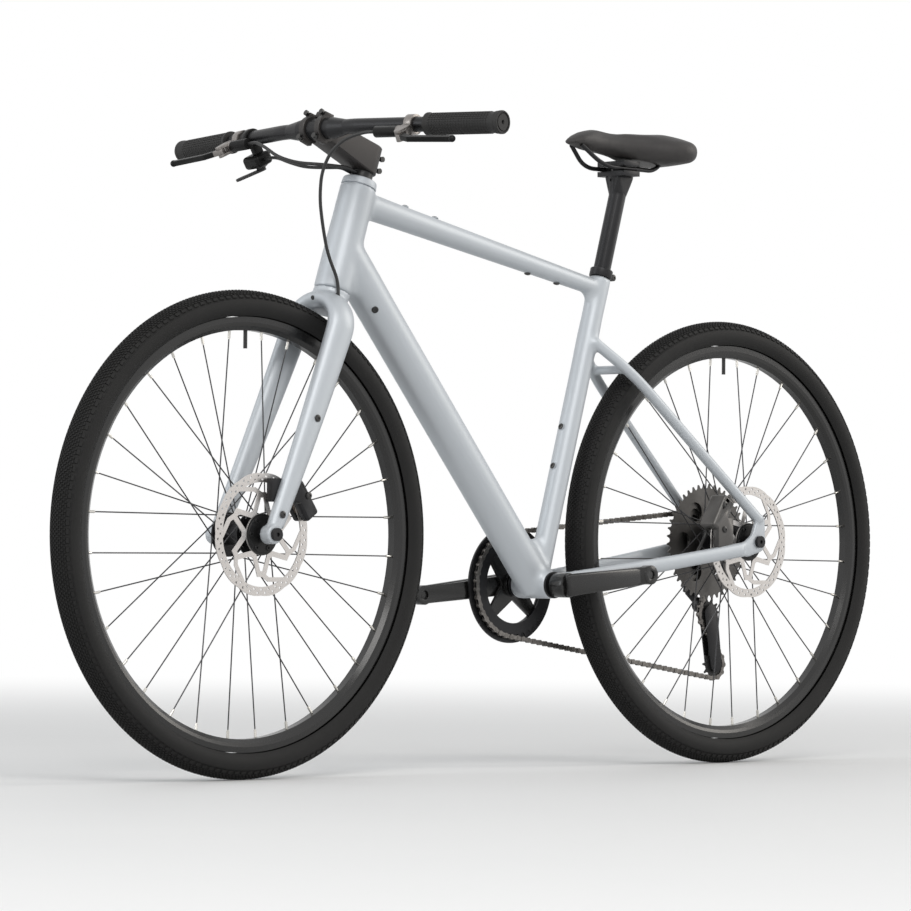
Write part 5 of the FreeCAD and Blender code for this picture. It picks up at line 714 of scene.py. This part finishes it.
# Seat: a slim clamp ring with a screwed ear, and a flare from the post to its clamp.
seatSpec = {
    "top": (-0.22798, 0, 0.76851), "up": (-0.27564, 0, 0.96126), "back": (-0.96126, 0, -0.27564),
    "ring": [(0.0150, 0.0), (0.0176, 0.0), (0.0181, 0.0008), (0.0181, 0.0122), (0.0174, 0.0130),
             (0.0150, 0.0130)],
    "ear": (0.015, 0.0105, 0.010), "earBack": 0.0205, "earLift": 0.0065, "earTaper": 0.85,
    "earEdge": 0.0018, "earSegments": 2,
    "postTop": (-0.26822, 0, 0.90886), "flareDrop": 0.010,
    "flareDisc": [(0.0134, 0.0), (0.0136, 0.0004), (0.0136, 0.0012)],
    "cradle": (0.030, 0.035, 0.004), "cradleLift": 0.0218, "cradleBack": 0.002, "cradleTaper": 1.0,
    "voxel": 0.0016, "passes": 10,
}


def ringSeat():
    spec = seatSpec
    top, up, back = Vector(spec["top"]), Vector(spec["up"]), Vector(spec["back"])
    side = Vector((0, 1, 0))
    ring = turnedPiece("clampRing", spec["ring"])
    placeAlong(ring, top, up)
    spot = top + up * spec["earLift"] + back * spec["earBack"]
    ear = taperedBlock("clampEar", facing(spot, back, side), spec["ear"], spec["earTaper"])
    applyModifier(ear, "BEVEL", width=spec["earEdge"], segments=spec["earSegments"])
    clamp = joinAs("seatClampRing", [ring, ear])
    smoothShade(clamp, crispAngle)
    finishPiece(clamp, "blackAlloy", "frame", "black_alloy", "seat_clamp")
    screw = spot + side * spec["ear"][0] / 2
    postTop = Vector(spec["postTop"])
    disc = turnedPiece("flareDisc", spec["flareDisc"])
    placeAlong(disc, postTop - up * spec["flareDrop"], up)
    rest = postTop + Vector((-spec["cradleBack"], 0, spec["cradleLift"]))
    cradle = taperedBlock("flareCradle", facing(rest, Vector((0, 0, 1)), side), spec["cradle"],
                          spec["cradleTaper"])
    flare = joinAs("postFlare", [disc, cradle])
    fillTube(flare)
    applyModifier(flare, "REMESH", mode="VOXEL", voxel_size=spec["voxel"])
    applyModifier(flare, "SMOOTH", factor=smoothFactor, iterations=spec["passes"])
    smoothShade(flare, softAngle)
    finishPiece(flare, "blackAlloy", body_of(nodes["seatpost"])[0], "black_alloy")
    return [(tuple(screw), (0, 1, 0)), (tuple(spot - side * spec["ear"][0] / 2), (0, -1, 0))]


clampScrews = ringSeat()

# Crank arms: a deep flat blade from the spindle to the pedal eye, joined to the CAD boss.
bladeSpec = {
    "spindle": (-0.08933, 0, 0.285),
    "left": (-0.26353, 0.0755, 0.30177), "right": (0.08486, -0.0755, 0.26823),
    "depth": 0.035, "wall": 0.0125, "taper": 0.78, "past": 0.010, "edge": 0.0042, "segments": 3,
}


def forgeBlade(side):
    spec = bladeSpec
    eye = Vector(spec[side])
    hub = Vector((spec["spindle"][0], eye.y, spec["spindle"][2]))
    along = (eye - hub).normalized()
    length = (eye - hub).length + spec["past"] * 2
    place = facing((eye + hub) / 2, along, Vector((0, 1, 0)))
    blade = taperedBlock("crankBlade", place, (spec["wall"], spec["depth"], length), spec["taper"])
    applyModifier(blade, "BEVEL", width=spec["edge"], segments=spec["segments"])
    smoothShade(blade, crispAngle)
    dress(blade, looks["glossBlack"])
    node = "crank_arm_" + side
    softPieces[node] = joinAs(node.title().replace("_", "") + "Soft", [softPieces[node], blade])


for side in ("left", "right"):
    forgeBlade(side)

# Stem: a wedge from the steerer to the bar, two bands with ears, and a small bracket between them.
stemSpec = {
    "reach": 0.2171, "sleeve": [(0.0190, -0.0272), (0.0206, -0.0258), (0.0206, 0.0152), (0.0190, 0.0168)],
    "nose": (0.044, 0.031, 0.020), "noseBack": -0.0125, "noseTaper": 0.94, "edge": 0.0035,
    "edgeSegments": 3, "sharp": 40,
    "band": [(0.0164, -0.0052), (0.0192, -0.0052), (0.0202, -0.0042), (0.0202, 0.0042), (0.0192, 0.0052),
             (0.0164, 0.0052)],
    "bandSide": 0.0165, "ear": (0.0100, 0.0105, 0.0185), "earLift": 0.0185, "earAhead": 0.0035,
    "earTaper": 0.9, "earEdge": 0.0015, "bracket": (0.014, 0.016, 0.010), "bracketLift": 0.0215,
    "bracketTaper": 0.8, "bracketEdge": 0.0014, "smallSegments": 2, "sleeveSides": 48,
}


def carveStem():
    spec = stemSpec
    clamp = steerFoot + steerUp * spec["reach"]
    ahead = (barMiddle - clamp).normalized()
    side = Vector((0, 1, 0))
    sleeve = turnedPiece("stemSleeve", spec["sleeve"], spec["sleeveSides"])
    placeAlong(sleeve, clamp, steerUp)
    front = facing(barMiddle + ahead * spec["noseBack"], ahead, side)
    nose = taperedBlock("stemNose", front, spec["nose"], spec["noseTaper"])
    wedge = joinAs("stemWedge", [sleeve, nose])
    fillTube(wedge)
    applyModifier(wedge, "BEVEL", width=spec["edge"], segments=spec["edgeSegments"], limit_method="ANGLE",
                  angle_limit=math.radians(spec["sharp"]))
    pieces = [wedge]
    for sign in (1, -1):
        band = turnedPiece("stemBand", spec["band"])
        placeAlong(band, barMiddle + side * spec["bandSide"] * sign, side)
        pieces.append(band)
        for lift in (1, -1):
            spot = barMiddle + side * spec["bandSide"] * sign
            spot += steerUp * spec["earLift"] * lift + ahead * spec["earAhead"]
            ear = taperedBlock("stemEar", facing(spot, ahead, side), spec["ear"], spec["earTaper"])
            applyModifier(ear, "BEVEL", width=spec["earEdge"], segments=spec["smallSegments"])
            pieces.append(ear)
    perch = facing(barMiddle + steerUp * spec["bracketLift"], steerUp, side)
    bracket = taperedBlock("stemBracket", perch, spec["bracket"], spec["bracketTaper"])
    applyModifier(bracket, "BEVEL", width=spec["bracketEdge"], segments=spec["smallSegments"])
    stem = joinAs("stemBody", pieces + [bracket])
    smoothShade(stem, crispAngle)
    finishPiece(stem, "stemAlloy", "fork_and_bar", "black_alloy", "stem", "stem_faceplate")


carveStem()

# Screws with a washer and a socket at bosses, eyelets, clamp and calipers, and plugs in the cable openings.
screwSpec = {
    "button": [(0.0054, 0.0), (0.0054, 0.0006), (0.0046, 0.0008), (0.0044, 0.0014), (0.0034, 0.0020),
               (0.0019, 0.0020), (0.0018, 0.0009), (0.0002, 0.0009)],
    "plug": [(0.0052, -0.0010), (0.0054, 0.0004), (0.0050, 0.0011), (0.0038, 0.0015), (0.0026, 0.0014),
             (0.0022, 0.0008), (0.0003, 0.0008)],
    "sides": 24, "lift": 0.0006,
    "calipers": [("front_caliper", (0.4400, 0.080, 0.4150)), ("front_caliper", (0.4640, 0.080, 0.3920)),
                 ("rear_caliper", (-0.4440, 0.100, 0.4150)), ("rear_caliper", (-0.4440, 0.100, 0.3750))],
    "under": [(-0.127, 0, 0.742), (-0.063, 0, 0.756)],
    "framePlugs": [(0.300, 0.055, 0.676)], "forkPlugs": [(0.412, 0, 0.705), (0.3615, 0.0325, 0.718)],
    "forkPlugSize": 0.62,
    "frame": [((-0.1252, 0, 0.4703), (0.961, 0, 0.276)), ((-0.1428, 0, 0.5318), (0.961, 0, 0.276)),
              ((0.0170, 0, 0.4569), (-0.767, 0, 0.642)), ((0.0581, 0, 0.5060), (-0.767, 0, 0.642)),
              ((0.1989, 0, 0.8530), (-0.206, 0, 0.979)), ((0.1363, 0, 0.8398), (-0.206, 0, 0.979))],
    "fork": [((0.43578, 0.067, 0.52628), (0, 1, 0)), ((0.43578, -0.067, 0.52628), (0, -1, 0)),
             ((0.50540, 0.070, 0.38496), (0, 1, 0)), ((0.50540, -0.070, 0.38496), (0, -1, 0))],
}


def setScrews(name, spots, body):
    screws = []
    for spot, out in spots:
        screw = turnedPiece("screw", screwSpec["button"], screwSpec["sides"])
        placeAlong(screw, Vector(spot) + Vector(out) * screwSpec["lift"], Vector(out))
        screws.append(screw)
    screws = joinAs(name, screws)
    smoothShade(screws, crispAngle)
    finishPiece(screws, "screwSteel", body, "bright_steel")


def seatOn(obj, near):
    # The spot on a piece nearest to a point, with the way out of the surface there.
    found, spot, out, face = obj.closest_point_on_mesh(Vector(near))
    return tuple(spot), tuple(out)


def setPlugs(name, spots, body, size=1):
    # Rubber plugs in cable openings: a lip, a shallow dome and a dimple.
    plugs = []
    for spot, out in spots:
        profile = [(radius * size, height) for radius, height in screwSpec["plug"]]
        plug = turnedPiece("plug", profile, screwSpec["sides"])
        placeAlong(plug, Vector(spot), Vector(out))
        plugs.append(plug)
    plugs = joinAs(name, plugs)
    smoothShade(plugs, crispAngle)
    finishPiece(plugs, "hoseRubber", body, "black_plastic")


caliperScrews = [seatOn(softPieces[node], near) for node, near in screwSpec["calipers"]]
underScrews = [seatOn(bikeFrame, near) for near in screwSpec["under"]]
setScrews("frameScrews", screwSpec["frame"] + caliperScrews[2:] + underScrews + clampScrews, "frame")
setScrews("forkScrews", screwSpec["fork"] + caliperScrews[:2], "fork_and_bar")
setPlugs("framePlugs", [seatOn(bikeFrame, near) for near in screwSpec["framePlugs"]], "frame")
setPlugs("forkPlugs", [seatOn(bikeFork, near) for near in screwSpec["forkPlugs"]], "fork_and_bar",
         screwSpec["forkPlugSize"])

# Rotors: a scalloped band with two rows of holes, hung by leaning arms on a zig-zag ring round a carrier.
rotorSpec = {
    "outer": 0.090, "inner": 0.0758, "wave": 0.0016, "waves": 12, "steps": 288, "wall": 0.0018,
    "holeRows": ((0.0798, 0.0), (0.0848, 0.5)), "holes": 36, "holeRadius": 0.0019, "holeSides": 10,
    "holeReach": 0.0054,
    "ring": ((0.0345, -7), (0.0345, 7), (0.0580, 25), (0.0580, 35)), "ringWidth": 0.0075, "sectors": 6,
    "arm": ((0.0560, 28), (0.0665, 42), (0.0775, 63)), "armWidth": 0.0066, "barWall": 0.0016,
    "armWall": 0.001552,
    "carrier": [(0.0160, -0.0014), (0.0300, -0.0014), (0.0304, -0.0010), (0.0304, 0.0010), (0.0300, 0.0014),
                (0.0270, 0.0014), (0.0262, 0.0020), (0.0160, 0.0020)],
    "screw": [(0.0040, 0.0), (0.0040, 0.0018), (0.0034, 0.0025), (0.0017, 0.0025), (0.0016, 0.0010),
              (0.0002, 0.0010)],
    "screwRing": 0.0222, "screwSides": 18,
}


def polarPoint(radius, degrees):
    return Vector((radius * math.cos(math.radians(degrees)), radius * math.sin(math.radians(degrees))))


def stripPiece(name, path, width, wall, closed):
    # A flat bar of one width along a path of points, with mitred corners.
    rows = len(path) + (1 if closed else 0)
    bpy.ops.object.select_all(action="DESELECT")
    bpy.ops.mesh.primitive_grid_add(x_subdivisions=1, y_subdivisions=rows - 1, size=1)
    bar = bpy.context.active_object
    bar.name = name
    points = sorted(bar.data.vertices, key=lambda vertex: (round(vertex.co.y, 5), vertex.co.x))
    for row in range(rows):
        here = path[row % len(path)]
        before = path[(row - 1) % len(path)] if closed or row else 2 * here - path[row + 1]
        after = path[(row + 1) % len(path)] if closed or row < rows - 1 else 2 * here - path[row - 1]
        first = (here - before).normalized().orthogonal()
        normal = (first + (after - here).normalized().orthogonal()).normalized()
        reach = width / 2 / normal.dot(first)
        points[2 * row].co = (here + normal * reach).to_3d()
        points[2 * row + 1].co = (here - normal * reach).to_3d()
    pickOnly(bar)
    bpy.ops.object.mode_set(mode="EDIT")
    bpy.ops.mesh.select_all(action="SELECT")
    bpy.ops.mesh.remove_doubles(threshold=mergeGap)
    bpy.ops.mesh.normals_make_consistent(inside=False)
    bpy.ops.object.mode_set(mode="OBJECT")
    applyModifier(bar, "SOLIDIFY", thickness=wall, offset=0)
    return bar


def cutRotor(name, axle, body, node, look):
    spec = rotorSpec
    bpy.ops.object.select_all(action="DESELECT")
    bpy.ops.mesh.primitive_circle_add(vertices=spec["steps"], radius=spec["outer"])
    band = bpy.context.active_object
    inward = spec["inner"] / spec["outer"]
    bpy.ops.object.mode_set(mode="EDIT")
    bpy.ops.mesh.select_all(action="SELECT")
    bpy.ops.mesh.extrude_region_move(TRANSFORM_OT_translate={"value": (0, 0, 0)})
    bpy.ops.transform.resize(value=(inward, inward, 1), center_override=(0, 0, 0))
    bpy.ops.object.mode_set(mode="OBJECT")
    for vertex in band.data.vertices:
        if vertex.co.length > (spec["outer"] + spec["inner"]) / 2:
            turns = math.atan2(vertex.co.y, vertex.co.x) / (2 * math.pi) * spec["waves"]
            dip = spec["wave"] * (2 * (turns % 1) - 1) ** 2
            vertex.co *= 1 - dip / spec["outer"]
    applyModifier(band, "SOLIDIFY", thickness=spec["wall"], offset=0)
    cutters = []
    for radius, shift in spec["holeRows"]:
        bpy.ops.object.select_all(action="DESELECT")
        bpy.ops.mesh.primitive_cylinder_add(vertices=spec["holeSides"], radius=spec["holeRadius"],
                                            depth=spec["holeReach"],
                                            location=(*polarPoint(radius, shift * 360 / spec["holes"]), 0))
        cutters.append(bpy.context.active_object)
        settle(cutters[-1])
        repeatAbout(cutters[-1], Matrix.Rotation(2 * math.pi / spec["holes"], 4, "Z"), spec["holes"])
    cutter = joinAs("rotorHoles", cutters)
    applyModifier(band, "BOOLEAN", object=cutter, operation="DIFFERENCE", solver="EXACT")
    bpy.data.objects.remove(cutter)
    step = 360 / spec["sectors"]
    path = [polarPoint(radius, angle + step * sector)
            for sector in range(spec["sectors"]) for radius, angle in spec["ring"]]
    pieces = [band, stripPiece("zigzag", path, spec["ringWidth"], spec["barWall"], True)]
    armPath = [polarPoint(*spot) for spot in spec["arm"]]
    arm = stripPiece("rotorArm", armPath, spec["armWidth"], spec["armWall"], False)
    screw = turnedPiece("rotorScrew", spec["screw"], spec["screwSides"])
    screw.location = (spec["screwRing"], 0, spec["wall"] / 2)
    settle(screw)
    for obj in (arm, screw):
        repeatAbout(obj, Matrix.Rotation(math.radians(step), 4, "Z"), spec["sectors"])
    rotor = joinAs(name, pieces + [arm, screw, turnedPiece("rotorCarrier", spec["carrier"])])
    low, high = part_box(node)
    placeAlong(rotor, Vector((axle[0], (low[1] + high[1]) / 2, axle[2])), Vector((0, 1, 0)))
    smoothShade(rotor, crispAngle)
    finishPiece(rotor, look, body, "rotor_steel", node)


cutRotor("frontRotorDisc", frontAxle, "front_wheel", "front_rotor", "frontRotor")
cutRotor("rearRotorDisc", rearAxle, "rear_wheel", "rear_rotor", "rearRotor")

# Saddle: the CAD form remeshed and swelled as foam under a cover, with a shallow channel along its middle.
saddleSpec = {
    "voxel": 0.005, "shrink": 0.0022, "firstPasses": 4, "pressure": 4, "frames": 20, "cap": 0.006,
    "lastPasses": 3, "channelDepth": 0.0035, "channelHalf": 0.012, "channelFrom": -0.385,
    "channelTo": -0.215, "topShare": 0.35,
}


def swellSaddle():
    spec = saddleSpec
    pad = copyNode("saddle")
    pad.name = pad.data.name = "saddlePad"
    applyModifier(pad, "REMESH", mode="VOXEL", voxel_size=spec["voxel"])
    applyModifier(pad, "DISPLACE", strength=-spec["shrink"], mid_level=0)
    applyModifier(pad, "SMOOTH", factor=smoothFactor, iterations=spec["firstPasses"])
    before = [vertex.co.copy() for vertex in pad.data.vertices]
    cloth = pad.modifiers.new("swell", "CLOTH")
    cloth.settings.use_pressure = True
    cloth.settings.uniform_pressure_force = spec["pressure"]
    cloth.settings.effector_weights.gravity = 0
    for step in range(1, spec["frames"] + 1):
        scene.frame_set(step)
    pickOnly(pad)
    bpy.ops.object.modifier_apply(modifier=cloth.name)
    scene.frame_set(1)
    for vertex, old in zip(pad.data.vertices, before):
        move = vertex.co - old
        if move.length > spec["cap"]:
            vertex.co = old + move.normalized() * spec["cap"]
    applyModifier(pad, "SMOOTH", factor=smoothFactor, iterations=spec["lastPasses"])
    applyModifier(pad, "SUBSURF", levels=1, render_levels=1)
    middle = (spec["channelFrom"] + spec["channelTo"]) / 2
    reach = (spec["channelTo"] - spec["channelFrom"]) / 2
    for vertex in pad.data.vertices:
        across = abs(vertex.co.y) / spec["channelHalf"]
        along = abs(vertex.co.x - middle) / reach
        if across < 1 and along < 1 and vertex.normal.z > spec["topShare"]:
            dip = (1 - across ** 2) ** 2 * (1 - along ** 2)
            vertex.co.z -= spec["channelDepth"] * dip
    smoothShade(pad, softAngle)
    finishPiece(pad, "saddleCover", "saddle", "saddle_cover", "saddle")


swellSaddle()


# Studio: a pale floor, a wide soft key, two strip fills and a soft sky.
floorSpec = {
    "radius": 30, "sides": 96, "dark": (0.80, 0.80, 0.80), "light": (0.85, 0.85, 0.845), "fade": (1.2, 6.0),
    "patch": 0.8, "grain": 40, "rough": (0.55, 0.7),
}
skySpec = {"color": (0.82, 0.84, 0.86, 1), "strength": 0.58, "backdrop": (1, 1, 1, 1),
           "backdropStrength": 1.0}
lightSpecs = {
    "keyLight": {"at": (3.4, 4.6, 4.6), "aim": (0.1, 0, 0.5), "size": (3.6, 3.0), "power": 185,
                 "color": (1, 0.985, 0.96)},
    "sideLight": {"at": (5.5, -2.2, 2.4), "aim": (0.2, 0, 0.5), "size": (1.2, 3.6), "power": 60,
                  "color": (0.95, 0.98, 1)},
    "backLight": {"at": (-4.2, 2.6, 2.8), "aim": (-0.2, 0, 0.5), "size": (1.4, 3.4), "power": 70,
                  "color": (1, 0.95, 0.88)},
}


def seenRays(tree):
    # One for the rays that show the backdrop, none for the rays that light the bike.
    paths = addNode(tree, "ShaderNodeLightPath")
    seen = paths.outputs["Is Camera Ray"]
    for kind in ("Is Glossy Ray", "Is Transmission Ray"):
        either = addNode(tree, "ShaderNodeMath", operation="MAXIMUM")
        tree.links.new(seen, either.inputs[0])
        tree.links.new(paths.outputs[kind], either.inputs[1])
        seen = either.outputs[0]
    return seen


def fadeFloor(tree, shader, point):
    # Away from the bike the floor turns into the white backdrop, so no horizon shows.
    away = addNode(tree, "ShaderNodeVectorMath", operation="LENGTH")
    tree.links.new(point, away.inputs[0])
    far = rangeOf(tree, away.outputs["Value"], 0, 1, *floorSpec["fade"], smooth=True)
    share = addNode(tree, "ShaderNodeMath", operation="MULTIPLY")
    tree.links.new(far, share.inputs[0])
    tree.links.new(seenRays(tree), share.inputs[1])
    white = addNode(tree, "ShaderNodeEmission", Color=skySpec["backdrop"],
                    Strength=skySpec["backdropStrength"])
    choice = addNode(tree, "ShaderNodeMixShader")
    tree.links.new(share.outputs[0], choice.inputs["Fac"])
    tree.links.new(shader.outputs["BSDF"], choice.inputs[1])
    tree.links.new(white.outputs["Emission"], choice.inputs[2])
    tree.links.new(choice.outputs["Shader"], tree.nodes["Material Output"].inputs["Surface"])


def makeStudio():
    bpy.ops.object.select_all(action="DESELECT")
    bpy.ops.mesh.primitive_circle_add(vertices=floorSpec["sides"], radius=floorSpec["radius"],
                                      fill_type="NGON")
    floor = bpy.context.active_object
    floor.name = "studioFloor"
    material, tree, shader = newMaterial("paleFloor")
    point = objectPoint(tree)
    patch = noiseOf(tree, point, floorSpec["patch"])
    grain = noiseOf(tree, point, floorSpec["grain"])
    tree.links.new(mixColors(tree, patch, floorSpec["dark"], floorSpec["light"]), shader.inputs["Base Color"])
    tree.links.new(rangeOf(tree, grain, *floorSpec["rough"]), shader.inputs["Roughness"])
    fadeFloor(tree, shader, point)
    dress(floor, material)
    for name, spec in lightSpecs.items():
        data = bpy.data.lights.new(name, "AREA")
        data.shape = "RECTANGLE"
        data.size, data.size_y = spec["size"]
        data.energy = spec["power"]
        data.color = spec["color"]
        lamp = bpy.data.objects.new(name, data)
        lamp.location = spec["at"]
        lamp.rotation_euler = (Vector(spec["aim"]) - Vector(spec["at"])).to_track_quat("-Z", "Y").to_euler()
        scene.collection.objects.link(lamp)
    world = bpy.data.worlds.new("softSky")
    world.use_nodes = True
    tree = world.node_tree
    sky = tree.nodes["Background"]
    sky.inputs["Color"].default_value = skySpec["color"]
    sky.inputs["Strength"].default_value = skySpec["strength"]
    backdrop = addNode(tree, "ShaderNodeBackground", Color=skySpec["backdrop"],
                       Strength=skySpec["backdropStrength"])
    choice = addNode(tree, "ShaderNodeMixShader")
    tree.links.new(seenRays(tree), choice.inputs["Fac"])
    tree.links.new(sky.outputs["Background"], choice.inputs[1])
    tree.links.new(backdrop.outputs["Background"], choice.inputs[2])
    tree.links.new(choice.outputs["Shader"], tree.nodes["World Output"].inputs["Surface"])
    scene.world = world
    scene.view_settings.view_transform = "Standard"


makeStudio()
print("stage: studio")
